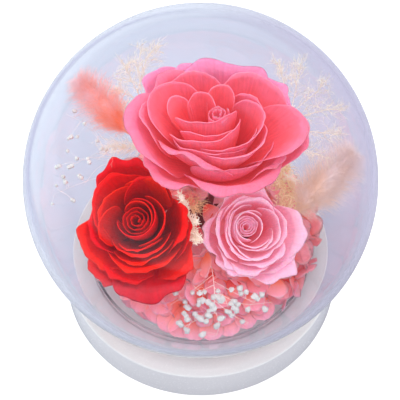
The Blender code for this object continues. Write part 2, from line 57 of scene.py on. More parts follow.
# Glass globe: the solids' measures, in finer steps
GLOBE_RADIUS = 0.0750
GLASS_WALL = 0.0025
GLOBE_CENTRE = 0.0791
NECK_RADIUS = 0.0532
NECK_FOOT = STAND_HEIGHT - GROOVE_DEPTH + TOUCH_GAP
NECK_FILLET = 0.0020
GLOBE_STEPS = 160
GLOBE_RINGS = 84
# Farthest that a flower may stand from the globe's middle
FLOWER_REACH = 0.0716

# Foam
FOAM_RADIUS = 0.0320
FOAM_HEIGHT = 0.0240

# Petals: rings, foot, belly and lip
RING_STEP = 0.75
RING_DROP = 0.3
INNER_RING = 3.6
BELLY_HEIGHT = 0.42
BELLY_RADIUS = 8.0
BELLY_STEP = 1.9
BELLY_SHARE = 0.4
FLARE_RISE = 0.75
BODY_SHARE = 0.80
WIDEST = 0.60
FOOT_WIDTH = 0.75
END_WIDTH = 0.90
FOOT_SPREAD = 0.75
LIP_TAPER = 0.6
RIM_DROP_POWER = 2.6
RIM_SAMPLES = 9
HEART_FOOT = 0.55
HEART_START = 1.1
HEART_SLOPE = (0.2, -1.2)
CALYX_DEPTH = 0.0030
CALYX_TAPER = 0.8
STEM_CLEARANCE = 0.0019

# Petals: wall, grid, corners and the band of painted highlight along the rim
PETAL_WALL = 0.00036
PETAL_COLUMNS = 40
BODY_ROWS = 20
LIP_ROWS = 10
CORNER_ROUND = 0.24
RIM_HIGHLIGHT_BAND = 0.0005
LARGEST_ROLL = 112.0
LARGEST_RING = 7.6
# Folds along a petal: height in millimetres, waves across, slant along, power of the way
FOLDS = ((0.30, 4.1, 0.0, 2), (0.22, 8.7, 2.2, 4), (0.16, 17.0, 3.0, 8), (0.09, 31.0, 0.0, 14))

# Strands: radius at the foot and at the tip
FERN_STEM = (0.00026, 0.00010)
FERN_BRANCHLET = (0.00009, 0.00004)
FERN_NEEDLE = (0.000055, 0.00003)
WISP_STALK = (0.00012, 0.00008)
WISP_HAIR = (0.00008, 0.00003)
TUFT_BIT = (0.00026, 0.00012)
TAIL_HAIR = (0.00006, 0.00002)
SPRIG_STEM = (0.00065, 0.00035)
SPRIG_SPIKE = (0.00030, 0.00012)
STRAW_FIBRE = (0.00014, 0.00005)
STEM_RADII = (0.0020, 0.0012)

# Nearest that the stem under a round flower may be for its twig to start there
NEAREST_TWIG = 0.0030

# How many: needles on a branchlet, hairs in the wisps, bits round each point of the tuft, fibres
NEEDLES = 7
WISP_HAIRS = 170
TUFT_BITS = 60
STRAW_FIBRES = 70

Petal = namedtuple("Petal", "centre radius sweep heights ring lip belly ruffle foot")


def petal(centre, radius, sweep, heights, ring, lip=(2.0, 40.0), belly=1.0, ruffle=(0.0, 2.0, 0.0),
          foot=None):
    """One petal in millimetres and degrees.

    Its rim's arc has a centre, a radius, two bearings and heights at its start, middle and end. Then
    come its ring, the lip's length and roll, the belly's share, the ruffle's height, waves and
    start, and the foot's bearings where they aren't those of the rim.
    """
    return Petal(centre, radius, sweep, heights, ring, lip, belly, ruffle, foot)


# The petals that stand for those of the solids, close to them
LARGE_ROSE_PETALS = [
    petal((-15.0, 3.0), 4.9, (30, 200), (-3.5, 0, -5), 0, lip=(1.0, 40), foot=(146, 182)),
    petal((-6.5, 2.5), 6.2, (22, 148), (-2.5, 1, -2.5), 0, lip=(1.0, 40), foot=(105, 145)),
    petal((1.5, 7.0), 5.6, (8, 164), (-2.5, 1, -2.5), 0, lip=(1.0, 40), foot=(50, 100)),
    petal((-6.0, 10.0), 15.5, (226, 326), (-3, 0, -3), 0, lip=(1.5, 50), ruffle=(0.4, 3, 0)),
    petal((9.0, -2.5), 9.3, (-92, 112), (-9, 0, -5), 2, lip=(1.5, 50), foot=(-55, 50)),
    petal((-6.0, 2.0), 15.5, (216, 350), (-8, -2, -6), 1, lip=(1.5, 40), ruffle=(0.3, 3, 1)),
    petal((4.5, -5.0), 15.0, (220, 378), (-9, -3, -7), 3, lip=(1.8, 60), ruffle=(0.3, 3, 2)),
    petal((-15.5, 3.0), 11.5, (30, 250), (-4, 1, -9), 1, lip=(1.5, 50), foot=(120, 202)),
    petal((-17.0, 1.0), 12.3, (134, 228), (-10, -2, -12), 5, lip=(2.0, 60), ruffle=(0.3, 2, 0)),
    petal((-9.0, 3.0), 16.3, (50, 134), (-3, 0, -6), 2, lip=(1.8, 50), ruffle=(0.4, 2, 1)),
    petal((11.0, 0.0), 18.3, (22, 122), (-8, -1, -4), 5, lip=(2.5, 60), ruffle=(0.4, 2, 0)),
    petal((15.0, 32.5), 55.0, (226.5, 258), (-11, -7.5, -11), 4, lip=(5.5, 110), ruffle=(0.3, 2, 0)),
    petal((20.0, -5.0), 13.0, (-122, 100), (-12, -3, -8), 4, lip=(3.0, 60), belly=0.88, foot=(-52, 22)),
    petal((1.0, 1.0), 25.5, (30, 142), (-12, -8, -12), 6.8, lip=(7.0, 85), ruffle=(0.8, 3, 0)),
    petal((-10.0, -5.0), 18.5, (190, 270), (-19, -16, -20), 6.8, lip=(5.0, 110), belly=0.95,
          ruffle=(0.5, 2, 0)),
    petal((5.0, -3.0), 23.0, (226, 334), (-18, -14, -18), 7.6, lip=(6.5, 110), belly=0.88,
          ruffle=(0.4, 2, 1), foot=(227, 338)),
    petal((-10.0, 0.0), 22.0, (124, 238), (-15, -7, -14), 6, lip=(6.5, 100), ruffle=(0.5, 2, 2)),
    petal((-18.0, 18.0), 11.0, (70, 198), (-12, -9, -14), 7, lip=(3.0, 60), ruffle=(0.4, 2, 0)),
    petal((21.5, -2.5), 13.9, (-66, 66), (-19, -10, -17), 6, lip=(3.0, 60), ruffle=(0.5, 3, 0)),
]

RED_ROSE_PETALS = [
    petal((0.0, 0.9), 8.2, (-182, 116), (-5, 0, -5), 1, lip=(1.0, 35), foot=(-120, 80)),
    petal((1.4, 0.2), 10.6, (-98, 80), (-6, -1, -6), 2, lip=(1.2, 40)),
    petal((-5.0, -3.0), 10.2, (112, 222), (-6, -2, -6), 2, lip=(1.2, 40)),
    petal((4.8, 7.4), 10.2, (6, 172), (-8.5, -4.5, -8.5), 3, lip=(1.5, 50), foot=(35, 115)),
    petal((1.0, -1.0), 13.6, (212, 338), (-8, -3, -8), 3, lip=(2.0, 70)),
    petal((-2.0, 4.0), 16.0, (72, 222), (-10, -4, -11), 4, lip=(2.0, 60), ruffle=(0.4, 4, 0)),
    petal((2.0, -2.0), 18.0, (210, 328), (-13, -6, -12), 5, lip=(3.0, 80)),
    petal((3.5, -0.5), 15.6, (-55, 40), (-12, -5, -12), 4.4, lip=(4.0, 100)),
    petal((-6.0, -4.0), 16.2, (144, 262), (-17, -9, -17), 6, lip=(4.0, 90), ruffle=(0.6, 4, 1)),
    petal((3.0, -9.0), 20.0, (212, 334), (-18, -12, -18), 7, lip=(6.0, 90), ruffle=(0.6, 4, 2)),
    petal((-3.0, 6.0), 18.0, (36, 164), (-17, -9, -17), 7, lip=(3.5, 80), ruffle=(0.7, 5, 0)),
]

PALE_ROSE_PETALS = [
    petal((-0.5, -0.5), 6.4, (-70, 142), (-4, 0, -4), 0, lip=(0.8, 30)),
    petal((6.0, -1.0), 13.4, (150, 266), (-6, -1, -6), 1, lip=(1.0, 40)),
    petal((4.0, -1.0), 9.3, (-82, 80), (-5, -1, -5), 1, lip=(1.0, 40)),
    petal((2.0, 0.0), 11.2, (14, 156), (-7, -2, -7), 2, lip=(1.5, 50)),
    petal((3.0, -1.0), 15.2, (136, 240), (-9, -3, -9), 3, lip=(2.0, 60)),
    petal((6.0, 0.0), 20.0, (206, 266), (-11, -6, -11), 4, lip=(2.0, 50)),
    petal((6.0, -6.0), 15.8, (266, 343), (-12, -6, -12), 5, lip=(3.0, 60), ruffle=(0.5, 2, 0)),
    petal((5.0, -2.0), 15.5, (-52, 50), (-12, -5, -12), 3, lip=(4.0, 80)),
    petal((1.0, 0.5), 14.8, (44, 148), (-12, -6, -12), 4, lip=(4.0, 80)),
    petal((-2.0, -3.0), 14.0, (138, 226), (-12, -8, -12), 5, lip=(3.0, 80)),
]

# More petals between those of the solids
LARGE_ROSE_FILLERS = [
    petal((7.0, -1.0), 11.8, (14, 92), (-7, -1.5, -7), 3, lip=(1.4, 50)),
    petal((-4.0, 3.0), 13.5, (222, 318), (-6, -1.6, -6), 0.5, lip=(1.0, 45)),
    petal((2.5, -3.0), 13.2, (230, 352), (-8, -3.2, -7), 2.2, lip=(1.2, 50)),
    petal((-2.0, -1.0), 16.6, (205, 318), (-10, -4.6, -9), 3.4, lip=(1.4, 50), ruffle=(0.3, 3, 0)),
    petal((4.0, -2.0), 19.0, (232, 350), (-16, -11.0, -15), 6.2, lip=(1.5, 60), ruffle=(0.3, 3, 0)),
    petal((6.0, -1.0), 21.6, (296, 352), (-18, -12.5, -17), 6.6, lip=(4.0, 90), ruffle=(0.4, 2, 0)),
    petal((-3.0, 7.0), 21.5, (66, 156), (-12, -8.5, -12), 6.9, lip=(5.0, 80), ruffle=(0.6, 3, 1)),
    petal((8.0, 5.0), 21.0, (0, 76), (-14, -9.0, -11), 6.9, lip=(4.5, 80), ruffle=(0.6, 3, 2)),
    petal((-8.0, 6.0), 19.0, (90, 170), (-9, -6.0, -10), 5.6, lip=(3.5, 70), ruffle=(0.5, 2, 1)),
]
RED_ROSE_FILLERS = [
    petal((4.0, -4.0), 17.0, (-45, 50), (-16, -9, -15), 6, lip=(2.0, 60)),
    petal((0.4, 0.8), 6.6, (-60, 150), (-4, 0, -4), 0.4, lip=(0.8, 30)),
    petal((0.0, -0.5), 12.0, (228, 322), (-7, -2.2, -7), 2.4, lip=(1.4, 50)),
    petal((-1.5, 1.5), 13.4, (96, 208), (-9, -3.4, -9), 3.2, lip=(1.4, 50)),
    petal((1.5, 3.5), 13.8, (20, 118), (-9, -4.6, -9), 3.5, lip=(1.6, 50)),
    petal((0.5, -1.5), 15.8, (226, 330), (-10, -4.5, -10), 4.1, lip=(1.8, 60)),
    petal((-4.0, 0.5), 15.2, (136, 244), (-12, -5.6, -12), 4.5, lip=(2.0, 60)),
    petal((-1.0, -5.5), 18.5, (208, 286), (-16, -9.5, -16), 6.2, lip=(3.0, 70)),
    petal((-5.0, -8.0), 17.5, (194, 262), (-19, -13, -19), 6.9, lip=(4.0, 80), ruffle=(0.4, 2, 1)),
    petal((5.5, -7.5), 17.0, (-84, -8), (-18, -11.5, -18), 6.7, lip=(4.0, 80), ruffle=(0.4, 2, 0)),
]
PALE_ROSE_FILLERS = [
    petal((0.2, -0.6), 5.0, (100, 290), (-3, 0, -3), 0, lip=(0.7, 30)),
    petal((2.6, -0.8), 8.0, (196, 330), (-4, -0.6, -4), 0.5, lip=(0.8, 35)),
    petal((3.0, -0.5), 12.2, (-60, 60), (-7, -2.5, -7), 2.2, lip=(1.4, 50)),
    petal((3.6, -1.2), 12.6, (148, 262), (-7, -1.8, -7), 2.1, lip=(1.2, 45)),
    petal((2.5, -3.6), 15.0, (228, 300), (-10, -4.5, -10), 4.0, lip=(2.0, 60)),
    petal((1.8, -0.8), 7.4, (60, 200), (-4, -0.5, -4), 0.6, lip=(0.8, 35)),
    petal((2.0, -1.0), 9.0, (236, 360), (-5, -1.4, -5), 1.2, lip=(1.0, 40)),
    petal((2.2, -0.6), 10.2, (96, 216), (-6, -1.8, -6), 1.6, lip=(1.0, 40)),
    petal((2.2, -2.0), 11.6, (222, 336), (-7, -2.8, -7), 2.4, lip=(1.4, 50)),
    petal((1.4, -1.0), 12.8, (52, 158), (-9, -3.8, -9), 3.0, lip=(1.6, 55)),
    petal((2.6, -2.6), 13.4, (252, 356), (-10, -4.6, -10), 3.6, lip=(2.0, 60)),
    petal((3.6, -4.6), 15.6, (284, 380), (-14, -8.4, -14), 5.4, lip=(3.0, 75), ruffle=(0.4, 3, 0)),
    petal((1.0, -4.0), 15.4, (206, 286), (-14, -8.4, -14), 5.2, lip=(3.0, 75), ruffle=(0.4, 3, 1)),
]

# Name of the solids, short name, place in metres, lean in degrees, petals, fillers, heart (middle,
# radius, pitch), foot depth, stem's landing, slot, shares for the lips' length and roll, and for
# the width of the petals
Rose = namedtuple("Rose", "name short place lean petals fillers heart foot stem slot roll widen")
ROSES = [
    Rose("large_rose", "coral", (0.0067, 0.0080, 0.1160), (0, 0), LARGE_ROSE_PETALS,
         LARGE_ROSE_FILLERS, (0.3, 0.3, 4.6, 3.6), 32.0, (0.004, 0.006), "coral_petal",
         (1.2, 1.1), 1.22),
    Rose("red_rose", "red", (-0.0271, -0.0205, 0.0810), (24, -5), RED_ROSE_PETALS,
         RED_ROSE_FILLERS, (0.3, 0.0, 6.6, 2.9), 27.0, (-0.016, -0.006), "red_petal",
         (1.2, 1.4), 1.12),
    Rose("pale_rose", "pale", (0.0201, -0.0184, 0.0720), (26, 3), PALE_ROSE_PETALS,
         PALE_ROSE_FILLERS, (-0.3, -0.1, 4.8, 1.8), 22.0, (0.0190, -0.0042), "pale_petal",
         (1.7, 1.8), 1.12),
]

# Sprays, close to the solids: the stalk and the branches as points in millimetres, None for the
# foam's surface
SPRAYS = {
    "babys_breath_front": ([(4, -20, None), (5, -27, 50), (6, -38, 50), (6, -45, 43)], [
        [(5.3, -30, 50), (-4, -37, 48), (-13, -41, 43)],
        [(6, -42, 46), (0, -46, 41), (-7, -49, 37)],
        [(5.7, -35, 50), (0, -38, 51), (-3, -37, 53)],
        [(5.8, -36, 50), (10, -40, 49), (12, -44, 46)],
        [(5.5, -33, 50), (16, -39, 49), (23, -42, 47)],
        [(6, -38, 50), (18, -42, 46), (31, -40, 43)],
        [(6, -41, 47), (14, -46, 43), (21, -48, 39)],
        [(6, -43, 45), (8, -49, 40), (7, -52, 34)],
    ]),
    "babys_breath_left": ([(-17, 7, None), (-21, 11, 60), (-34, 15, 72), (-44, 14, 80)], [
        [(-29, 13.5, 67.4), (-44, 8, 70), (-56, 0, 74), (-61, -5, 77)],
        [(-34, 15, 72), (-44, 10, 75), (-50, -1, 77)],
        [(-38, 14.7, 75), (-48, 10, 82), (-53, 4, 86)],
        [(-40, 14.5, 77), (-48, 20, 90), (-57, 22, 97)],
        [(-41, 14.4, 78), (-46, 20, 90), (-48, 23, 96)],
        [(-43, 14, 79.5), (-45, 15, 84), (-45, 16, 88)],
    ]),
    "bleached_fern_left": ([(-8, 17, None), (-18, 30, 62), (-26, 38, 84), (-28, 40, 92)], [
        [(-25, 37, 81), (-27, 44, 97), (-26, 50, 108)],
        [(-27, 39, 88), (-31, 42, 98), (-33, 42, 106)],
        [(-26, 38, 84), (-34, 38, 92), (-40, 33, 99)],
        [(-27.5, 39.5, 91), (-24, 46, 102), (-19, 48, 111)],
        [(-24, 36, 78), (-36, 34, 84), (-44, 29, 90)],
    ]),
    "bleached_fern_right": ([(12, 16, None), (26, 28, 62), (38, 32, 82), (41, 32, 90)], [
        [(40, 32, 87), (42, 38, 101), (43, 40, 110)],
        [(38, 32, 82), (50, 34, 97), (53, 33, 106)],
        [(36, 31.5, 79), (54, 28, 92), (61, 22, 100)],
        [(34, 31, 75), (52, 22, 84), (59, 14, 93)],
        [(30, 29.5, 69), (46, 20, 74), (54, 9, 83)],
        [(39, 32, 85), (36, 40, 97), (34, 43, 105)],
        [(28, 28.8, 66), (36, 12, 68), (39, 4, 76)],
    ]),
    "dried_sprig": ([(-3, -8, None), (-5, -12, 62), (-5.6, -11.8, 74), (-8.6, -9.6, 83)], [
        [(-5.4, -11.9, 70), (-3.4, -17, 74), (-2.0, -20, 78)],
        [(-5.3, -12.3, 65), (-2.2, -20, 69), (-0.4, -25, 73)],
        [(-5, -12, 62.5), (-3.2, -20, 66.5), (-1.8, -26, 72)],
    ]),
}

# Places of the round flowers of the two sprays of baby's breath, in millimetres
FRONT_BUDS = [
    (-10.7, -38.9, 50.1), (16.9, -37.3, 51.7), (13.3, -37.8, 51.1), (7.5, -38.2, 50.8),
    (-0.4, -38.9, 50.1), (1.8, -38.5, 50.4), (19.7, -38.5, 50.4), (17.4, -39, 49.9),
    (26.5, -39.4, 49.5), (23.4, -39.9, 49), (24.6, -40.8, 48.1), (-6.6, -41.4, 47.3),
    (0.8, -41.1, 47.7), (3.2, -41.6, 47.1), (-0.6, -41.3, 47.5), (8.5, -41.4, 47.3), (9.2, -40.7, 48.1),
    (13.3, -42.1, 46.6), (14.5, -41.5, 47.3), (16.2, -42.5, 46.2), (5.1, -42.8, 45.9),
    (5.9, -43.6, 45.1), (-5.9, -43.2, 45.5), (-5, -43.7, 45), (-7.1, -45.3, 43.3), (-6.2, -46.1, 42.4),
    (-5.7, -47.2, 41.3), (3.7, -44.6, 44), (4.8, -44.1, 44.6), (3.1, -45.8, 42.8), (4.1, -46.3, 42.3),
    (11.4, -44.7, 43.9), (12.5, -45, 43.6), (14.3, -43.5, 45.2), (15.3, -44.1, 44.6), (15.7, -44.6, 44),
    (20.5, -44.1, 44.6), (28, -44.1, 44.6), (-2.5, -45.4, 43.1), (-1.6, -46.1, 42.4),
    (-0.4, -46.8, 41.7), (0.4, -47.3, 41.2), (8.5, -47, 41.5), (9.6, -46.8, 41.7), (2.5, -47.9, 40.6),
    (18.2, -48.1, 40.4), (7, -49.4, 39), (7.7, -49, 39.5), (-9.3, -48.4, 40), (-8.3, -49.2, 39.2),
    (-6.5, -50.5, 37.8), (-5.8, -51.1, 37.2), (0.6, -52.4, 35.8), (1.6, -51.8, 36.5),
    (-0.9, -42.5, 46.2), (-3.5, -38.7, 50.2), (5.6, -40.1, 48.8), (7.6, -40.3, 48.5), (13.4, -46, 42.5),
]
LEFT_BUDS = [
    (-54, 23.7, 97), (-55.6, 16.6, 88), (-53, 16.6, 88), (-57, 10.6, 86), (-59.9, 2.7, 86),
    (-54.4, 2.7, 86), (-52.6, 6.6, 86), (-48, 6.6, 86), (-42.9, 16, 80), (-52.4, 3.8, 77),
    (-59.3, 3.2, 77), (-58, 0.4, 77), (-62, -1.3, 77), (-54.6, -8.4, 77), (-62.9, -10.6, 77),
    (-49.1, 17.6, 96), (-47.2, 4.7, 86), (-58.7, 1.5, 77), (-51.3, 2.7, 77), (-55.7, 2.1, 86),
    (-44.1, 14.3, 88), (-41, 15.4, 80), (-53.3, 23.5, 97), (-56.7, 15.7, 88), (-61, 2.1, 86),
    (-53.8, -9, 77),
]

# Single florets' petals between the roses: foot, bearing, slope and roll in degrees, length,
# width, shade
LOOSE_PETALS = [
    ((-3.5, -11.5, 54), -60, -35, 20, 11.0, 10.0, 0.15),
    ((1.0, -12.0, 52), -75, -40, -25, 10.0, 9.0, 0.30),
    ((-6.0, -17.0, 50), -110, -30, 10, 10.5, 9.0, 0.20), ((2.6, -20.5, 53), -84, -8, 55, 12.0, 9.0, 0.98),
    ((7.0, -21.0, 48), -60, -25, -15, 11.0, 10.0, 0.10),
    ((-4.0, -24.0, 47), -95, -25, 15, 11.5, 10.5, 0.45),
    ((5.0, -27.0, 47), -80, -20, -10, 11.5, 10.0, 0.20),
    ((13.0, -30.0, 46), -70, -25, 12, 12.0, 11.0, 0.15),
    ((-9.0, -22.0, 48), -120, -20, -20, 11.0, 9.5, 0.60),
    ((2.0, -4.0, 66), -50, -30, 10, 10.0, 9.0, 0.35), ((6.0, -7.0, 64), -80, -35, -15, 10.0, 9.0, 0.25),
    ((10.0, -2.0, 62), -30, -20, 10, 10.0, 9.0, 0.50),
    ((-2.0, -9.0, 58), -100, -45, -10, 10.0, 9.0, 0.05),
    ((-22.0, -30.0, 38), -125, -30, 10, 13.0, 12.0, 0.75),
    ((-17.0, -34.0, 38), -110, -35, -15, 13.0, 12.5, 0.90),
    ((-12.0, -38.0, 38), -105, -38, 10, 13.5, 12.0, 0.80),
    ((-8.0, -41.0, 37), -100, -42, -10, 13.0, 12.0, 0.85),
    ((-27.0, -26.0, 38), -138, -30, 15, 12.5, 11.5, 0.90),
    ((-31.0, -20.0, 38), -148, -28, -10, 12.0, 11.0, 0.80),
    ((-2.0, -43.0, 37), -92, -40, 12, 12.5, 11.5, 0.60),
    ((4.0, -43.0, 38), -85, -38, -12, 12.5, 11.5, 0.70),
    ((11.0, -41.0, 38), -75, -38, 10, 12.5, 11.5, 0.75),
    ((17.0, -38.0, 38), -65, -35, -10, 12.5, 11.5, 0.60),
    ((24.0, -34.0, 38), -55, -32, 12, 12.5, 11.5, 0.70),
    ((-15.0, -33.0, 41), -115, -15, -8, 12.0, 11.5, 0.95),
    ((20.0, -32.0, 42), -60, -20, 10, 12.0, 11.0, 0.80),
    ((31.0, -27.0, 40), -45, -25, -12, 12.0, 11.0, 0.75),
]

# Grass heads and the strawflower, as in the solids: (x, y, height, radius) in millimetres
HEADS = {
    "bunny_tail_left": [(-13, 13, None, 0.6), (-21, 19, 70, 0.6), (-31, 19, 88, 1.2), (-36, 22, 92.5, 4.6),
                        (-41, 25.5, 97, 5.4), (-47, 30, 102, 4.2), (-52, 33.5, 106, 1.2)],
    "bunny_tail_right": [(20, 6, None, 0.6), (33, 3, 54, 0.6), (42, -4, 61, 1.6), (47, -1, 66, 6.2),
                         (53, 2, 72, 7.4), (60, 6, 79, 5.6), (66, 9.5, 85, 1.6)],
    "strawflower": [(-1, -2, None, 0.6), (-3, -3, 58, 0.6), (-4.5, -4, 68, 1.4), (-5, -4.5, 71, 4.2),
                    (-5, -5, 74, 4.0), (-5, -5.2, 75.5, 2.0)],
}

# Hydrangea heads, round the middle of the solids' heads: bearings in degrees, distance from the
# axis, seed
HYDRANGEAS = {
    "hydrangea_front": (206, 313, 0.0255, 3),
    "hydrangea_right": (317, 424, 0.0325, 5),
    "hydrangea_back": (71, 199, 0.0285, 8),
}
HEAD_WIDTH = 0.0185
HEAD_HEIGHT = 0.0120
HEAD_MIDDLE = 0.0340
FLORET_STEP = 17.0
FLORET_TURNS = (-10.0, 25.0, 60.0, 96.0, 132.0)
FLORET_OFFSETS = (0, 8, 0, 8, 0)
FLORET_PETALS = 4
FLORET_LENGTHS = (9.5, 13.0)
FLORET_WALL = 0.00025
MOUND_DEPTH = 0.0030
MOUND_WALL = 0.0006

# Wisps and tuft: points in millimetres, and the way the wisps head
WISP_STEM = [(-25.0, 17.0, 80.0), (-39.0, 13.0, 86.0)]
WISP_HEADING = (-0.75, -0.35, 0.30)
TUFT = [(34.5, 7.0, 67), (37.0, 11.0, 70), (39.5, 6.0, 66), (36.5, 2.0, 63), (41.0, 1.0, 64),
        (38.5, -3.0, 61)]

# Strawflower: middle, and whorls of bracts by their number, length and rise in millimetres
STRAW_MIDDLE = (-5.0, -4.6, 71.0)
WHORLS = [(12, 4.6, 1.2), (11, 4.1, 2.4), (9, 3.4, 3.4), (7, 2.4, 4.0)]
STRAW_FACING = (0.0, -0.25, 0.968)


# Node tools

def tint(code):
    """Linear colour of a six-digit sRGB code."""
    channels = [int(code[i:i + 2], 16) / 255 for i in (0, 2, 4)]
    return (*(c / 12.92 if c <= 0.04045 else ((c + 0.055) / 1.055) ** 2.4 for c in channels), 1.0)


def add_node(tree, kind, inputs=None, **settings):
    """A shader node with its settings, and values or sockets on its inputs."""
    made = tree.nodes.new("ShaderNode" + kind)
    for key, value in settings.items():
        setattr(made, key, value)
    for key, value in (inputs or {}).items():
        if isinstance(value, bpy.types.NodeSocket):
            tree.links.new(value, made.inputs[key])
        else:
            made.inputs[key].default_value = value
    return made


def mixed(tree, share, first, second):
    """Colour between two colours by a share."""
    return add_node(tree, "Mix", {0: share, 6: first, 7: second}, data_type="RGBA").outputs[2]


def between(tree, value, low, high, start=0.0, end=1.0, smooth=True):
    """A value carried from one range to another, held at its ends."""
    kind = "SMOOTHSTEP" if smooth else "LINEAR"
    made = add_node(tree, "MapRange", {0: value, 1: low, 2: high, 3: start, 4: end},
                    interpolation_type=kind)
    return made.outputs[0]


def reckon(tree, operation, first, second):
    """The result of one sum on two values."""
    return add_node(tree, "Math", {0: first, 1: second}, operation=operation).outputs[0]


def times(tree, first, second):
    """The product of two values."""
    return reckon(tree, "MULTIPLY", first, second)


def plus(tree, first, *others):
    """The sum of some values, from the first on."""
    for other in others:
        first = reckon(tree, "ADD", first, other)
    return first


def swung(tree, value, share):
    """A value about a half, brought about nothing and scaled."""
    return times(tree, reckon(tree, "SUBTRACT", value, 0.5), share)


def noise(tree, place, scale, detail=3.0, roughness=0.5):
    """Soft noise of a given size at a place."""
    made = add_node(tree, "TexNoise", {"Vector": place, "Scale": scale, "Detail": detail,
                                       "Roughness": roughness})
    return made.outputs[0]


def object_place(tree):
    """The place on the piece, in its own coordinates."""
    return add_node(tree, "TexCoord").outputs["Object"]


def field(tree, name):
    """A value that the mesh carries at its points."""
    return add_node(tree, "Attribute", attribute_name=name).outputs["Fac"]


def shader_group(name, inputs, outputs):
    """An empty node group with named sockets, and its two end nodes."""
    group = bpy.data.node_groups.new(name, "ShaderNodeTree")
    for label, kind, value in inputs:
        socket = group.interface.new_socket(label, in_out="INPUT", socket_type="NodeSocket" + kind)
        socket.default_value = value
    for label, kind in outputs:
        group.interface.new_socket(label, in_out="OUTPUT", socket_type="NodeSocket" + kind)
    return group, group.nodes.new("NodeGroupInput").outputs, group.nodes.new("NodeGroupOutput").inputs


RESULTS = [("Colour", "Color"), ("Roughness", "Float"), ("Height", "Float")]


def leaf_group():
    """Colour and relief of a petal.

    The colour runs from foot to middle to rim along the petal, darker towards the foot: partly the
    petal's own colour and partly painted shade of the depths between petals. It is paler in a thin
    ragged band at the border, a painted highlight where the rims catch light, and turns to the far
    colour at the outer petals' ends over a range along Y, painted shade where that colour is darker.
    Veins, mortling and each petal's own shade change its value and hue.
    """
    group, given, made = shader_group("petal sheet", [
        ("Foot", "Color", (0.5, 0.0, 0.05, 1)), ("Middle", "Color", (0.8, 0.1, 0.1, 1)),
        ("Rim", "Color", (0.9, 0.3, 0.4, 1)), ("Edge", "Color", (1.0, 0.7, 0.8, 1)),
        ("Far", "Color", (0.8, 0.3, 0.5, 1)), ("Turn", "Float", 0.55), ("Edge share", "Float", 0.6),
        ("Far share", "Float", 0.0), ("Far from", "Float", 0.0), ("Far to", "Float", 0.01),
        ("Veins", "Float", 0.12), ("Variety", "Float", 0.15)], RESULTS)
    way, side, edge, shade, outer, inside = (
        field(group, name) for name in ("way", "side", "edge", "shade", "outer", "inside"))
    place = object_place(group)
    fine = noise(group, place, 900.0, 3.0)
    drift = swung(group, noise(group, place, 90.0, 2.0), 0.5)
    back = times(group, reckon(group, "SUBTRACT", 1.0, inside), 0.12)
    moved = plus(group, way, drift, times(group, outer, 0.20), back)
    low = reckon(group, "SUBTRACT", given["Turn"], 0.28)
    high = plus(group, given["Turn"], 0.22)
    # Darker at the foot: the petal's own colour and painted shade of the depths between petals
    colour = mixed(group, between(group, moved, 0.0, given["Turn"]), given["Foot"], given["Middle"])
    colour = mixed(group, between(group, moved, low, high), colour, given["Rim"])

    # Paler ragged band at the border: painted highlight where the rims catch light
    ragged = plus(group, edge, swung(group, fine, 0.5))
    rim = times(group, between(group, ragged, 0.75, 0.05), given["Edge share"])
    rim = times(group, rim, between(group, way, 0.45, 0.8))
    colour = mixed(group, rim, colour, given["Edge"])

    # Far colour at the outer petals' ends along Y: the own tone of the coral rose and the florets, and on
    # the red rose a darker red towards the front, painted shade
    far = times(group, between(group, outer, 0.70, 0.95), between(group, way, 0.45, 0.95))
    along = add_node(group, "SeparateXYZ", {0: place}).outputs["Y"]
    far = times(group, far, between(group, along, given["Far from"], given["Far to"]))
    colour = mixed(group, times(group, far, given["Far share"]), colour, given["Far"])

    strand = add_node(group, "CombineXYZ", {0: times(group, side, 26.0), 1: times(group, way, 3.0),
                                            2: times(group, shade, 20.0)}).outputs[0]
    vein = noise(group, strand, 1.0, 3.0, 0.6)
    spread = times(group, between(group, vein, 0.3, 0.7, -1.0, 1.0), given["Veins"])
    mottle = swung(group, noise(group, place, 260.0, 4.0), 0.22)
    own = swung(group, shade, given["Variety"])
    value = plus(group, spread, mottle, own, 1.0)
    hue = plus(group, 0.5, times(group, own, times(group, given["Variety"], 0.12)))
    shaded = add_node(group, "HueSaturation", {"Hue": hue, "Value": value, "Color": colour})
    group.links.new(shaded.outputs[0], made["Colour"])
    group.links.new(between(group, fine, 0.2, 0.8, 0.48, 0.72), made["Roughness"])
    crease = noise(group, place, 330.0, 4.0, 0.6)
    height = plus(group, times(group, vein, 0.4), times(group, fine, 0.2), times(group, crease, 0.8))
    group.links.new(height, made["Height"])
    return group


def grain_group():
    """Two close colours over the piece in slow and fine patches, with the same patches as relief."""
    group, given, made = shader_group("fine grain", [
        ("Light", "Color", (0.9, 0.9, 0.9, 1)), ("Dark", "Color", (0.7, 0.7, 0.7, 1)),
        ("Slow", "Float", 60.0), ("Fine", "Float", 900.0), ("Smoothest", "Float", 0.2),
        ("Roughest", "Float", 0.4)], RESULTS)
    place = object_place(group)
    slow = noise(group, place, given["Slow"], 3.0)
    fine = noise(group, place, given["Fine"], 4.0, 0.6)
    patches = plus(group, times(group, slow, 0.6), times(group, fine, 0.4))
    share = plus(group, between(group, patches, 0.35, 0.65), field(group, "shade"))
    share = times(group, share, 0.5)
    group.links.new(mixed(group, share, given["Dark"], given["Light"]), made["Colour"])
    rough = add_node(group, "MapRange", {0: fine, 1: 0.3, 2: 0.7, 3: given["Smoothest"],
                                         4: given["Roughest"]})
    group.links.new(rough.outputs[0], made["Roughness"])
    group.links.new(fine, made["Height"])
    return group


LEAF = leaf_group()
GRAIN = grain_group()


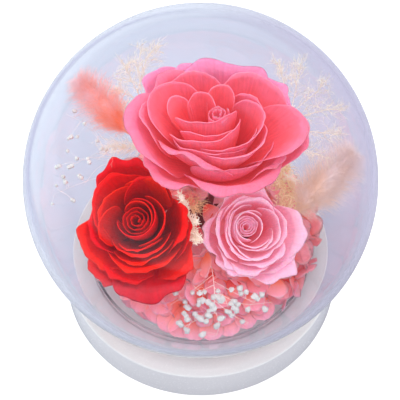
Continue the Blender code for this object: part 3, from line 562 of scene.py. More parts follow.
def finish(name, group, values, relief, relief_scale, plain=None):
    """A material whose colour, roughness and relief come from one of the groups."""
    made = bpy.data.materials.new(name)
    made.use_nodes = True
    tree = made.node_tree
    shader = tree.nodes["Principled BSDF"]
    effect = tree.nodes.new("ShaderNodeGroup")
    effect.node_tree = group
    for key, value in values.items():
        effect.inputs[key].default_value = value
    tree.links.new(effect.outputs["Colour"], shader.inputs["Base Color"])
    tree.links.new(effect.outputs["Roughness"], shader.inputs["Roughness"])
    # The colour also feeds emission: painted glow wherever the finish sets an emission strength
    tree.links.new(effect.outputs["Colour"], shader.inputs["Emission Color"])
    bump = add_node(tree, "Bump", {"Strength": relief, "Distance": relief_scale,
                                   "Height": effect.outputs["Height"]})
    tree.links.new(bump.outputs[0], shader.inputs["Normal"])
    for key, value in (plain or {}).items():
        shader.inputs[key].default_value = value
    return made


def petal_finish(name, foot, middle, rim, edge, turn, highlight_share, veins, variety, painted_glow_strength, far="E892BE",
                 far_share=0.0, far_range=(0.0, 0.01)):
    """Soft matt petal with painted glow: emission of its own colour for the light it lets through and that
    bounces between petals.
    """
    # edge colours the painted highlight along the rim, and foot the foot with its painted shade
    values = {"Foot": tint(foot), "Middle": tint(middle), "Rim": tint(rim), "Edge": tint(edge),
              "Far": tint(far), "Far share": far_share, "Far from": far_range[0], "Far to": far_range[1],
              "Turn": turn, "Edge share": highlight_share, "Veins": veins, "Variety": variety}
    plain = {"Subsurface Weight": 0.35, "Subsurface Scale": 0.0018, "Specular IOR Level": 0.18,
             "Emission Strength": painted_glow_strength}
    return finish(name, LEAF, values, relief=0.75, relief_scale=0.0007, plain=plain)


def grain_finish(name, light, dark, slow, fine, smooth, rough, relief, relief_scale=0.0003, plain=None):
    """A finish in two close colours, with slow and fine grain."""
    values = {"Light": tint(light), "Dark": tint(dark), "Slow": slow, "Fine": fine,
              "Smoothest": smooth, "Roughest": rough}
    return finish(name, GRAIN, values, relief, relief_scale, plain)


def glass_finish():
    """Clear lavender glass: plain transmission, with the shadows it casts let through."""
    made = bpy.data.materials.new("lavender glass")
    made.use_nodes = True
    tree = made.node_tree
    shader = tree.nodes["Principled BSDF"]
    shader.inputs["Base Color"].default_value = (0.965, 0.967, 0.985, 1.0)
    shader.inputs["Transmission Weight"].default_value = 1.0
    shader.inputs["IOR"].default_value = 1.45
    place = object_place(tree)
    smear = noise(tree, place, 35.0, 4.0, 0.6)
    tree.links.new(between(tree, smear, 0.45, 0.75, 0.0, 0.035), shader.inputs["Roughness"])
    shadow = add_node(tree, "LightPath").outputs["Is Shadow Ray"]
    clear = add_node(tree, "BsdfTransparent", {"Color": (1.0, 1.0, 1.0, 1.0)})
    mix = add_node(tree, "MixShader", {0: shadow, 1: shader.outputs[0], 2: clear.outputs[0]})
    tree.links.new(mix.outputs[0], tree.nodes["Material Output"].inputs["Surface"])
    return made


def painted_glow(strength):
    """Plain values of a matt thin piece with painted glow: a little emission of its own colour in place of
    light let through and bounced.
    """
    return {"Specular IOR Level": 0.1, "Emission Strength": strength}


FINISHES = {
    "white_lacquer": grain_finish("white lacquer", "DEE0E2", "D6D8DC", 25.0, 1500.0, 0.16, 0.30, 0.04,
                                  plain={"Coat Weight": 0.3, "Coat Roughness": 0.08}),
    "clear_glass": glass_finish(),
    # Dark red foam with painted glow: painted shade of the deep red gaps between the flowers
    "flower_foam": grain_finish("flower foam", "8A3634", "541A1C", 120.0, 1600.0, 0.85, 1.0, 0.6, 0.0008,
                                plain=painted_glow(0.05)),
    # Dark red like the petals' foot: the receptacle's colour, and painted shade where the calyx shows
    # between petals
    "rose_stem": grain_finish("rose stem", "A03038", "5C2026", 80.0, 900.0, 0.5, 0.75, 0.3),
    "coral_petal": petal_finish("coral petal", "E02A30", "F06470", "EA7692", "F0A8C2", 0.86, 0.40, 0.06,
                                0.14, painted_glow_strength=0.14, far_share=0.8, far_range=(-0.012, 0.016)),
    # Far colour: a darker red on the outer petals towards the front, painted shade
    "red_petal": petal_finish("red petal", "B00418", "E40006", "F40404", "FC3018", 0.80, 0.35, 0.08, 0.20,
                              painted_glow_strength=0.03, far="BC0C1C", far_share=0.65, far_range=(-0.024, -0.044)),
    "pale_petal": petal_finish("pale pink petal", "EA5870", "F09EB4", "F2B8D0", "F8D8E6", 0.84, 0.40, 0.06,
                               0.10, painted_glow_strength=0.18),
    "hydrangea_floret": petal_finish("hydrangea floret", "F04C34", "F4705C", "F498A0", "F8C4D0", 0.62, 0.3,
                                     0.07, 0.40, painted_glow_strength=0.16, far="F6A2C0", far_share=0.75,
                                     far_range=(-0.024, -0.044)),
    "breath_bud": grain_finish("white bud", "F4F6F4", "DEE2DE", 300.0, 2500.0, 0.6, 0.9, 0.3),
    "breath_twig": grain_finish("breath twig", "FFF8F4", "FFE8E0", 200.0, 1500.0, 0.6, 0.9, 0.2,
                                plain=painted_glow(0.17)),
    "bleached_fern": grain_finish("bleached fern", "FFFCF4", "FBF0DC", 200.0, 2000.0, 0.6, 0.9, 0.2,
                                  plain=painted_glow(0.17)),
    "tail_left": grain_finish("pink grass hair", "F4D2DC", "FF8A48", 150.0, 1500.0, 0.7, 0.95, 0.1,
                              plain=painted_glow(0.20)),
    "tail_right": grain_finish("peach grass hair", "F2E4E8", "F2CEB0", 150.0, 1500.0, 0.7, 0.95, 0.1,
                               plain=painted_glow(0.14)),
    "dried_sprig": grain_finish("dried sprig", "FFFCF0", "FCE8D0", 200.0, 2000.0, 0.6, 0.9, 0.3,
                                plain=painted_glow(0.17)),
    "strawflower": petal_finish("strawflower bract", "D03034", "EC5458", "F07C7C", "F8B0A8", 0.5, 0.4, 0.10,
                                0.4, painted_glow_strength=0.22),
    "tan_tuft": grain_finish("tan tuft", "FFECCC", "E8C49C", 300.0, 2500.0, 0.6, 0.9, 0.3,
                             plain=painted_glow(0.17)),
    "tan_fibre": grain_finish("tan fibre", "F4D0A8", "D09C70", 200.0, 2000.0, 0.6, 0.9, 0.3,
                              plain=painted_glow(0.32)),
}


# Mesh tools

def unit(vectors):
    """Vectors at length one."""
    return vectors / np.maximum(np.linalg.norm(vectors, axis=-1, keepdims=True), 1e-12)


def keep_inside(points):
    """Draws points in towards the globe's middle where they would touch the glass or the stand."""
    middle = np.array([0.0, 0.0, GLOBE_CENTRE])
    away = points - middle
    reach = np.linalg.norm(away, axis=-1, keepdims=True)
    held = middle + away * np.minimum(1.0, FLOWER_REACH / np.maximum(reach, 1e-9))
    held[..., 2] = np.maximum(held[..., 2], PLATFORM_TOP + TOUCH_GAP)
    return held


def put_mesh(name, points, quads, triangles, fields, look, slot, node=None):
    """A piece from arrays of points and faces, with named values at its points.

    look names its finish and node the solid that it stands for. slot, the frame's material, is not used.
    """
    mesh = bpy.data.meshes.new(name)
    mesh.vertices.add(len(points))
    mesh.vertices.foreach_set("co", np.asarray(points, np.float32).ravel())
    corners = np.concatenate([np.ravel(quads), np.ravel(triangles)]).astype(np.int32)
    starts = np.concatenate([np.arange(len(quads)) * 4, len(quads) * 4 + np.arange(len(triangles)) * 3])
    mesh.loops.add(len(corners))
    mesh.loops.foreach_set("vertex_index", corners)
    mesh.polygons.add(len(starts))
    mesh.polygons.foreach_set("loop_start", starts.astype(np.int32))
    mesh.update(calc_edges=True)
    for label, values in fields.items():
        layer = mesh.attributes.new(label, "FLOAT", "POINT")
        layer.data.foreach_set("value", np.asarray(values, np.float32).ravel())
    mesh.shade_smooth()
    mesh.materials.append(FINISHES[look])
    made = bpy.data.objects.new(name, mesh)
    bpy.context.scene.collection.objects.link(made)
    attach(made, "root")
    if node:
        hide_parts(node)


def leaf_arrays(sheets, wall, fields):
    """Closed thin leaves: two faces, a wall apart inside, that meet at the border of each sheet.

    sheets is an array of leaves by rows by columns by three. The half wall grows with the root of
    the number of cells from the border, up to two cells.
    """
    count, rows, columns = sheets.shape[:3]
    normal = unit(np.cross(np.gradient(sheets, axis=2), np.gradient(sheets, axis=1)))
    row_depth = np.minimum(np.arange(rows), rows - 1 - np.arange(rows))
    column_depth = np.minimum(np.arange(columns), columns - 1 - np.arange(columns))
    depth = np.minimum(row_depth[:, None], column_depth[None, :])
    half = wall / 2 * np.sqrt(np.minimum(depth / 2, 1.0))[None, :, :, None]
    inner = depth.ravel() > 0
    front = (sheets + normal * half).reshape(count, -1, 3)
    back = (sheets - normal * half).reshape(count, -1, 3)[:, inner]
    points = np.concatenate([front, back], axis=1)
    front_index = np.arange(rows * columns)
    back_index = front_index.copy()
    back_index[inner] = rows * columns + np.arange(inner.sum())
    front_index = front_index.reshape(rows, columns)
    back_index = back_index.reshape(rows, columns)
    front_quads = np.stack([front_index[:-1, :-1], front_index[:-1, 1:], front_index[1:, 1:],
                            front_index[1:, :-1]], axis=-1).reshape(-1, 4)
    back_quads = np.stack([back_index[:-1, :-1], back_index[1:, :-1], back_index[1:, 1:],
                           back_index[:-1, 1:]], axis=-1).reshape(-1, 4)
    quads = np.concatenate([front_quads, back_quads])
    quads = (quads[None] + np.arange(count)[:, None, None] * points.shape[1]).reshape(-1, 4)
    inside = [np.zeros((count, rows * columns)), np.ones((count, inner.sum()))]
    spread = {"inside": np.concatenate(inside, axis=1)}
    for label, values in fields.items():
        flat = np.broadcast_to(values, (count, rows, columns)).reshape(count, -1)
        spread[label] = np.concatenate([flat, flat[:, inner]], axis=1)
    return points.reshape(-1, 3), quads, np.zeros((0, 3), int), spread


def strand_arrays(paths, radii, sides, fields):
    """Closed round strands: a ring across each point of each path, and a point at each end.

    paths is an array of strands by points by three, and radii of strands by points. A ring lies in
    the plane across the path, from a fixed direction that is least along the strand.
    """
    count, length = paths.shape[:2]
    along = unit(np.gradient(paths, axis=1))
    least = np.argmin(np.abs(along).mean(axis=1), axis=1)
    fixed = np.eye(3)[least][:, None, :]
    first = unit(np.cross(along, np.broadcast_to(fixed, along.shape)))
    second = np.cross(along, first)
    turn = np.arange(sides) / sides * 2 * math.pi
    rings = (first[:, :, None, :] * np.cos(turn)[None, None, :, None]
             + second[:, :, None, :] * np.sin(turn)[None, None, :, None])
    rings = paths[:, :, None, :] + rings * radii[:, :, None, None]
    points = np.concatenate([rings.reshape(count, -1, 3), paths[:, :1], paths[:, -1:]], axis=1)
    index = np.arange(length * sides).reshape(length, sides)
    following = np.roll(index, -1, axis=1)
    quads = np.stack([index[:-1], following[:-1], following[1:], index[1:]], axis=-1).reshape(-1, 4)
    start, end = length * sides, length * sides + 1
    foot = np.stack([following[0], index[0], np.full(sides, start)], axis=-1)
    tip = np.stack([index[-1], following[-1], np.full(sides, end)], axis=-1)
    triangles = np.concatenate([foot, tip])
    step = np.arange(count)[:, None, None] * points.shape[1]
    spread = {}
    for label, values in fields.items():
        flat = np.broadcast_to(values, (count, length))
        rows = np.repeat(flat, sides, axis=1)
        spread[label] = np.concatenate([rows, flat[:, :1], flat[:, -1:]], axis=1)
    return (points.reshape(-1, 3), (quads[None] + step).reshape(-1, 4),
            (triangles[None] + step).reshape(-1, 3), spread)


def joined(*parts):
    """Several sets of points, faces and values as one."""
    points, quads, triangles, start = [], [], [], 0
    labels = parts[0][3].keys()
    for part in parts:
        points.append(part[0])
        quads.append(part[1] + start)
        triangles.append(part[2] + start)
        start += len(part[0])
    fields = {label: np.concatenate([np.ravel(part[3][label]) for part in parts]) for label in labels}
    return np.concatenate(points), np.concatenate(quads), np.concatenate(triangles), fields


def smooth_path(points, steps):
    """A path through the points, cubic between them, with the same number of steps for each stretch."""
    points = np.asarray(points, float)
    ends = np.vstack([2 * points[0] - points[1], points, 2 * points[-1] - points[-2]])
    t = np.linspace(0.0, 1.0, steps, endpoint=False)[:, None]
    stretches = []
    for i in range(len(points) - 1):
        a, b, c, d = ends[i:i + 4]
        stretches.append(0.5 * (2 * b + (c - a) * t + (2 * a - 5 * b + 4 * c - d) * t ** 2
                                + (3 * b - a - 3 * c + d) * t ** 3))
    return np.vstack([*stretches, points[-1:]])


def foam_height(x, y):
    """Height of the foam's surface: a half oval over its round foot."""
    away = min(math.hypot(x, y) / FOAM_RADIUS, 1.0)
    return PLATFORM_TOP + TOUCH_GAP + FOAM_HEIGHT * math.sqrt(1.0 - away * away)


def on_foam(point):
    """A point in metres, its height taken from the foam where it is left open."""
    x, y = point[0] * MM, point[1] * MM
    return np.array([x, y, foam_height(x, y) if point[2] is None else point[2] * MM])


# Stand, globe and foam

def arc(centre_r, centre_z, radius, first, last, steps):
    """Points on a circle in the profile's plane, angles in degrees from the outward direction."""
    angle = np.radians(np.linspace(first, last, steps + 1))
    return np.stack([centre_r + radius * np.cos(angle), centre_z + radius * np.sin(angle)], axis=1)


def turned(name, profile, steps, look, slot, node, waver=None):
    """A profile from the axis down its outer side and back to the axis, turned about the upright axis."""
    inner = profile[1:-1]
    turn = np.arange(steps) / steps * 2 * math.pi
    away = inner[:, :1] * np.ones(steps)
    height = inner[:, 1:] * np.ones(steps)
    if waver is not None:
        away, height = waver(away, height, turn[None, :])
    rings = np.stack([away * np.cos(turn), away * np.sin(turn), height], axis=-1).reshape(-1, 3)
    points = np.vstack([rings, [0.0, 0.0, profile[0, 1]], [0.0, 0.0, profile[-1, 1]]])
    index = np.arange(len(inner) * steps).reshape(len(inner), steps)
    following = np.roll(index, -1, axis=1)
    quads = np.stack([index[:-1], index[1:], following[1:], following[:-1]], axis=-1).reshape(-1, 4)
    top = np.stack([np.full(steps, len(rings)), index[0], following[0]], axis=-1)
    bottom = np.stack([np.full(steps, len(rings) + 1), following[-1], index[-1]], axis=-1)
    fields = {"shade": np.full(len(points), 0.5)}
    put_mesh(name, points, quads, np.concatenate([top, bottom]), fields, look, slot, node)


def make_stand():
    """A low round stand: platform, groove for the glass and rounded edges, as arcs down its side."""
    edge = STAND_EDGE
    groove_out = NECK_RADIUS + TOUCH_GAP
    groove_in = NECK_RADIUS - GLASS_WALL - TOUCH_GAP
    groove_floor = STAND_HEIGHT - GROOVE_DEPTH
    small = 0.0003
    profile = np.vstack([
        [(0.0, PLATFORM_TOP), (PLATFORM_RADIUS / 2, PLATFORM_TOP)],
        arc(PLATFORM_RADIUS - edge, PLATFORM_TOP - edge, edge, 90, 0, 6),
        arc(PLATFORM_RADIUS + small, STAND_HEIGHT + small, small, 180, 270, 3),
        arc(groove_in - small, STAND_HEIGHT - small, small, 90, 0, 3),
        arc(groove_in + small, groove_floor + small, small, 180, 270, 3),
        arc(groove_out - small, groove_floor + small, small, 270, 360, 3),
        arc(groove_out + small, STAND_HEIGHT - small, small, 180, 90, 3),
        arc(STAND_TOP_RADIUS - edge, STAND_HEIGHT - edge, edge, 90, 0, 8),
        arc(STAND_FOOT_RADIUS - edge, edge, edge, 0, -90, 6),
        [(0.0, 0.0)]])
    turned("lacquered_stand", profile, STAND_STEPS, "white_lacquer", "white_lacquer", "base")


def globe_side(radius, neck, fillet, rings):
    """One side of the glass: the globe from its top to the neck, a fillet, and the neck down to its foot."""
    reach = radius + fillet
    drop = math.asin((neck + fillet) / reach)
    junction = GLOBE_CENTRE - reach * math.cos(drop)
    last = -90.0 + math.degrees(drop)
    side = arc(0.0, GLOBE_CENTRE, radius, 90, last, rings)
    side[0, 0] = 0.0
    return np.vstack([side, arc(neck + fillet, junction, fillet, 180 + last, 180, 8)[1:]])


def make_globe():
    """The glass wall from its outer top to its rounded foot in the groove and back up to its inner top."""
    outer = globe_side(GLOBE_RADIUS, NECK_RADIUS, NECK_FILLET, GLOBE_RINGS)
    inner = globe_side(GLOBE_RADIUS - GLASS_WALL, NECK_RADIUS - GLASS_WALL, NECK_FILLET + GLASS_WALL,
                       GLOBE_RINGS)
    half = GLASS_WALL / 2
    foot = arc(NECK_RADIUS - half, NECK_FOOT + half, half, 0, -180, 10)
    turned("glass_globe", np.vstack([outer, foot, inner[::-1]]), GLOBE_STEPS, "clear_glass",
           "clear_glass", "glass_dome")


def make_foam():
    """A low dome with a crumbled surface: shallow waves of several lengths around and along it."""
    slope = np.radians(np.linspace(90, 2, 24))
    foot = PLATFORM_TOP + TOUCH_GAP
    dome = np.stack([FOAM_RADIUS * np.cos(slope), foot + FOAM_HEIGHT * np.sin(slope)], axis=1)
    dome[0, 0] = 0.0
    profile = np.vstack([dome, [(FOAM_RADIUS, foot), (0.0, foot)]])

    def crumble(away, height, turn):
        wave = np.sin(17 * turn + 900 * height) * np.cos(1300 * away + 5 * turn)
        return away * (1 - 0.008 * (1 + wave)), height
    turned("soft_foam", profile, 72, "flower_foam", "flower_foam", "flower_foam", crumble)


# Roses

def petal_width(way):
    """Share of the full width along a petal: narrow at the foot, round at the end."""
    widening = FOOT_WIDTH + (1 - FOOT_WIDTH) * np.sin(np.minimum(way / WIDEST, 1.0) * math.pi / 2)
    past = np.clip((way - WIDEST) / (1 - WIDEST), 0.0, 1.0)
    return widening * np.sqrt(1 - (1 - END_WIDTH ** 2) * past ** 2)


def petal_surface(shape, foot_depth, seed):
    """Points of an open petal in metres, and the ways along and across it.

    Each strand is a quadratic Bezier from an arc at the rose's foot to the rim's arc. Its middle
    point lies under the rim, drawn towards a circle that widens with the ring. The lip carries on
    as a part of a circle that rolls away from the rim's centre, less towards the petal's sides.
    Waves across the petal grow with the cube of the way along it. Strands end sooner towards the
    sides, so the corners are round. Soft folds, each a sine across the petal times a power of the
    way, run along it and are deeper in the outer rings.
    """
    chance = np.random.default_rng(seed)
    phase = chance.uniform(0, 2 * math.pi, 8)
    side = np.linspace(-1.0, 1.0, PETAL_COLUMNS + 1)[None, :]
    side = np.sin(side * math.pi / 2) * 0.35 + side * 0.65
    way = np.concatenate([BODY_SHARE * np.linspace(0.0, 1.0, BODY_ROWS + 1),
                          np.linspace(BODY_SHARE, 1.0, LIP_ROWS + 1)[1:]])[:, None]
    reach_share = 1 - CORNER_ROUND * np.abs(side) ** 3.5
    reach_share = reach_share - 0.018 * (1 + np.sin(5.3 * side + phase[0]))
    reach_share = reach_share - 0.008 * (1 + np.sin(13.0 * side + 2 * phase[0]))
    way = way * reach_share
    across = petal_width(way) * side
    first, last = np.radians(shape.sweep)
    angle = (first + last) / 2 + across * (last - first) / 2
    level = np.zeros_like(angle)
    outward = np.stack([np.cos(angle), np.sin(angle), level], axis=-1)
    end_height = np.where(across < 0, shape.heights[0], shape.heights[2])
    rim = np.array([*shape.centre, 0.0]) + shape.radius * outward
    rim[..., 2] = shape.heights[1] + (end_height - shape.heights[1]) * np.abs(across) ** RIM_DROP_POWER
    rim[..., 2] += 0.025 * shape.radius * np.sin(5.1 * side + phase[7])
    if shape.foot:
        low, high = np.radians(shape.foot)
        foot_angle = (low + high) / 2 + across * (high - low) / 2
    else:
        ends = [np.array(shape.centre) + shape.radius * np.array([math.cos(a), math.sin(a)])
                for a in np.linspace(first, last, RIM_SAMPLES)]
        bearing = np.unwrap([math.atan2(y, x) for x, y in ends])
        foot_angle = bearing[RIM_SAMPLES // 2] + FOOT_SPREAD * across * (bearing[-1] - bearing[0]) / 2
    foot_radius = INNER_RING + RING_STEP * shape.ring
    foot_height = level - foot_depth - RING_DROP * shape.ring
    foot = np.stack([foot_radius * np.cos(foot_angle), foot_radius * np.sin(foot_angle), foot_height],
                    axis=-1)
    reach = np.hypot(rim[..., 0], rim[..., 1])
    nested = BELLY_RADIUS + BELLY_STEP * shape.ring
    pull = shape.belly * (BELLY_SHARE + (1 - BELLY_SHARE) * nested / np.maximum(reach, 1.0))
    belly = rim * pull[..., None]
    rise = BELLY_HEIGHT + FLARE_RISE * (1 - shape.belly)
    belly[..., 2] = foot_height + (rim[..., 2] - foot_height) * rise
    v = np.minimum(way / BODY_SHARE, 1.0)[..., None]
    strand = (1 - v) ** 2 * foot + 2 * v * (1 - v) * belly + v ** 2 * rim
    upward = unit(rim - belly)
    away = unit(outward - upward * np.sum(outward * upward, axis=-1, keepdims=True))
    roll = math.radians(shape.lip[1])
    turn = np.maximum(way - BODY_SHARE, 0.0)[..., None] / (1 - BODY_SHARE) * roll
    size = shape.lip[0] / roll * (1 - LIP_TAPER * np.abs(side) ** 3)[..., None]
    uneven = 1 + 0.10 * np.sin(3.1 * side + phase[1]) + 0.06 * np.sin(7.9 * side + phase[2])
    lip = size * uneven[..., None] * (np.sin(turn) * upward + (1 - np.cos(turn)) * away)
    amount, waves, start = shape.ruffle
    wave = (amount * np.sin(math.pi * waves * across + start) * way ** 3)[..., None]
    scale = min(1.0, shape.radius / 16.0) * (1 + 0.15 * shape.ring)
    fold = sum(height * np.sin(across_waves * side + slant * way + phase[number]) * way ** power
               for number, (height, across_waves, slant, power) in enumerate(FOLDS, 3))
    fold = (fold * scale)[..., None]
    points = strand + lip + wave * (away + 0.6 * upward) + fold * away
    return points * MM, np.broadcast_to(way, across.shape), across


def heart_surface(centre_x, centre_y, radius, pitch, foot_depth):
    """Points of the rolled heart: a sheet wound outward about its own axis, narrower at its foot.

    Towards the crest the winding is uneven by cosines and sines of the angle, and the crest rises
    and falls with the angle and drops outward.
    """
    turns = 1.0 + radius / pitch
    u = np.linspace(0.0, 1.0, 180)[None, :]
    wound = HEART_START + (radius - HEART_START) * u
    angle = 2 * math.pi * turns * u - math.pi / 3
    v = np.linspace(0.0, 1.0, 22)[:, None]
    reach = wound * (HEART_FOOT + (1 - HEART_FOOT) * np.sin(math.pi / 2 * v))
    uneven = 0.05 * wound * np.cos(2 * angle - 1.0) + 0.14 * np.sin(5 * angle) + 0.10 * np.sin(8.3 * angle)
    reach = reach + uneven * v ** 5
    across = centre_x * v + reach * np.cos(angle)
    along = centre_y * v + reach * np.sin(angle)
    crest = HEART_SLOPE[0] + HEART_SLOPE[1] * u + 0.25 * np.sin(3.3 * angle)
    height = -foot_depth * (1 - v) + crest * v
    points = np.stack([across, along, np.broadcast_to(height, across.shape)], axis=-1) * MM
    return points, np.broadcast_to(v, across.shape), np.broadcast_to(2 * u - 1, across.shape)


def edge_distance(points):
    """Distance of each point of a sheet from its rim and sides, over the width of the painted rim
    highlight's band.
    """
    rows_left = np.linalg.norm(points - points[-1:], axis=-1)
    from_first = np.linalg.norm(points - points[:, :1], axis=-1)
    from_last = np.linalg.norm(points - points[:, -1:], axis=-1)
    return np.minimum(np.minimum(rows_left, from_first), from_last) / RIM_HIGHLIGHT_BAND


def place_leaf(name, surface, matrix, slot, node, shade, outer=0.0):
    """A petal or heart from its surface, set in its rose's place and given its wall."""
    points, way, side = surface
    points = keep_inside(points @ np.array(matrix.to_3x3()).T + np.array(matrix.translation))
    fields = {"way": way, "side": side, "edge": edge_distance(points), "shade": shade, "outer": outer}
    put_mesh(name, *leaf_arrays(points[None], PETAL_WALL, fields), slot, slot, node)


def widened(sweep, share):
    """A petal's arc made wider about its middle, up to half a turn."""
    middle, half = (sweep[0] + sweep[1]) / 2, (sweep[1] - sweep[0]) / 2
    half = max(half, min(half * share, 90.0))
    return middle - half, middle + half


def make_rose(number, rose):
    """A rose: its heart, its petals and fillers, and its calyx and stem as one tapered strand."""
    lean = Euler([math.radians(a) for a in (*rose.lean, 0.0)]).to_matrix().to_4x4()
    matrix = Matrix.Translation(rose.place) @ lean
    chance = np.random.default_rng(100 + number)
    heart = heart_surface(*rose.heart, rose.foot)
    place_leaf(f"{rose.short}_heart", heart, matrix, rose.slot, rose.name + "_heart", 0.5)
    for count, shape in enumerate(rose.petals + rose.fillers, 1):
        lip = (shape.lip[0] * rose.roll[0], min(shape.lip[1] * rose.roll[1], LARGEST_ROLL))
        shape = shape._replace(lip=lip, sweep=widened(shape.sweep, rose.widen))
        surface = petal_surface(shape, rose.foot, 1000 * number + count)
        in_solids = count <= len(rose.petals)
        node = f"{rose.name}_petal_{count:02d}" if in_solids else None
        place_leaf(f"{rose.short}_petal_{count:02d}", surface, matrix, rose.slot, node, chance.uniform(),
                   shape.ring / LARGEST_RING)
    outer_ring = max(shape.ring for shape in rose.petals)
    cup = (INNER_RING + RING_STEP * outer_ring) * MM
    top = -(rose.foot + RING_DROP * outer_ring) * MM - 2 * TOUCH_GAP
    landing = Vector((*rose.stem, foam_height(*rose.stem) + STEM_CLEARANCE))
    calyx = [matrix @ Vector((0.0, 0.0, top - depth)) for depth in (0.0, CALYX_DEPTH, 2 * CALYX_DEPTH)]
    knots = np.array([*calyx, landing])
    path = smooth_path(knots, 6)
    place = np.linspace(0, len(knots) - 1, len(path))
    radii = np.interp(place, range(len(knots)), [cup, CALYX_TAPER * cup, *STEM_RADII])
    arrays = strand_arrays(path[None], radii[None], 24, {"shade": 0.5})
    put_mesh(f"{rose.short}_rose_stem", *arrays, "rose_stem", "rose_stem", rose.name + "_stem")


# Small leaves and strands

def frames(normals, spin):
    """Three directions for each normal: two across it, turned by spin, and the normal itself."""
    helper = np.where(np.abs(normals[:, 2:3]) < 0.9, [[0.0, 0.0, 1.0]], [[1.0, 0.0, 0.0]])
    first = unit(np.cross(helper, normals))
    second = np.cross(normals, first)
    cosine, sine = np.cos(spin)[:, None], np.sin(spin)[:, None]
    return np.stack([first * cosine + second * sine, second * cosine - first * sine, normals], axis=1)


def small_leaves(centres, axes, length, width, rise, cup, rows, columns, tip=0.35):
    """Small petals: the length along the first axis, the width across it, and a rise along the third.

    The width follows a sine of the way, fuller towards the end by the tip's share. The height is the
    rise times the way to the power 1.5, plus the cup times the square of the place across.
    """
    v = np.linspace(0.0, 1.0, rows)[None, :, None]
    s = np.linspace(-1.0, 1.0, columns)[None, None, :]
    outline = np.sin(math.pi * (0.06 + 0.88 * v) ** (1 + tip)) ** 0.6
    rounded = v * (1 - 0.10 * s ** 2 * v)
    x = length[:, None, None] * rounded
    y = width[:, None, None] / 2 * outline * s
    z = rise[:, None, None] * v ** 1.5 + cup[:, None, None] * s ** 2 * v
    x, y, z = np.broadcast_arrays(x, y, z)
    local = np.stack([x, y, z], axis=-1)
    points = np.einsum("krcm,kmn->krcn", local, axes) + centres[:, None, None, :]
    return points, np.broadcast_to(v, x.shape), np.broadcast_to(s, x.shape)


def leaf_fields(way, side, shade):
    """Values of small petals: the ways along and across, the nearness of the border and the shade."""
    rim = np.minimum(1 - np.abs(side), 1 - way) * 4
    return {"way": way, "side": side, "edge": rim, "outer": 1.0, "shade": shade[:, None, None]}


def waved_leaves(centres, axes, length, width, rise, cup, shade, grid, waves):
    """Small petals of florets as closed arrays, with a wave across that grows with the way squared.

    waves gives its height in millimetres, and what the place across and the shade turn it by.
    """
    points, way, side = small_leaves(centres, axes, length, width, rise, cup, *grid)
    height, across, by_shade = waves
    wave = height * MM * np.sin(across * side + by_shade * shade[:, None, None]) * way ** 2
    points = keep_inside(points + wave[..., None] * axes[:, None, None, 2])
    return leaf_arrays(points, FLORET_WALL, leaf_fields(way, side, shade))


def make_hydrangea(name, first, last, middle, seed):
    """A head of florets of four petals each, set over a lumpy mound, on the oval of the solid's head.

    Florets stand at even bearings and turns round the oval, each a little off by chance, and face
    away from it. The mound is the same oval, a little smaller, with a product of sines for lumps,
    and is coloured near the florets' foot and darker: painted shade inside the head.
    """
    chance = np.random.default_rng(seed)
    count = round((last - first) / FLORET_STEP)
    bearing, turn = np.meshgrid(np.linspace(first + 3, last - 3, count), np.radians(FLORET_TURNS),
                                indexing="ij")
    bearing = np.radians(bearing.ravel() + chance.uniform(-4, 4, bearing.size)
                         + np.tile(FLORET_OFFSETS, count))
    turn = turn.ravel() + np.radians(chance.uniform(-7, 7, turn.size))
    away = middle + (HEAD_WIDTH - 0.0015) * np.cos(turn)
    centres = np.stack([away * np.cos(bearing), away * np.sin(bearing),
                        HEAD_MIDDLE + (HEAD_HEIGHT - 0.0010) * np.sin(turn)], axis=1)
    normals = np.stack([np.cos(turn) * np.cos(bearing), np.cos(turn) * np.sin(bearing),
                        1.3 * np.sin(turn) + 0.25], axis=1)
    normals = unit(normals + chance.normal(0, 0.32, normals.shape))
    spin = chance.uniform(0, 2 * math.pi, len(centres))
    shade = chance.uniform(0, 1, len(centres))
    quarters = np.arange(FLORET_PETALS) * math.pi / 2
    spin = (spin[:, None] + quarters + chance.normal(0, 0.10, (len(spin), FLORET_PETALS))).ravel()
    centres = np.repeat(centres, FLORET_PETALS, axis=0)
    axes = frames(np.repeat(normals, FLORET_PETALS, axis=0), spin)
    size = chance.uniform(*FLORET_LENGTHS, len(centres)) * MM
    width, rise, cup = (size * chance.uniform(low, high, len(size))
                        for low, high in ((0.85, 1.05), (0.05, 0.45), (-0.05, 0.18)))
    shade = np.clip(np.repeat(shade, FLORET_PETALS) + chance.normal(0, 0.08, len(size)), 0, 1)
    arrays = waved_leaves(centres, axes, size, width, rise, cup, shade, (8, 7), (0.25, 9, 7))
    put_mesh(name + "_florets", *arrays, "hydrangea_floret", "hydrangea_floret", name)

    bearing = np.radians(np.linspace(first + 1, last - 1, 44))[None, :]
    turn = np.radians(np.linspace(-40, 172, 30))[:, None]
    lump = 0.0006 * np.sin(40 * bearing) * np.sin(11 * turn)
    away = np.maximum(middle + (HEAD_WIDTH - MOUND_DEPTH + lump) * np.cos(turn), 0.30 * middle)
    height = HEAD_MIDDLE + (HEAD_HEIGHT - MOUND_DEPTH + lump) * np.sin(turn)
    mound = np.stack([away * np.cos(bearing), away * np.sin(bearing), height], axis=-1)
    # Near the foot colour and darker: painted shade inside the head
    fields = {"outer": 0.0, "way": 0.12, "side": bearing, "edge": 1.0, "shade": 0.25}
    put_mesh(name + "_mound", *leaf_arrays(keep_inside(mound)[None], MOUND_WALL, fields),
             "hydrangea_floret", "hydrangea_floret")


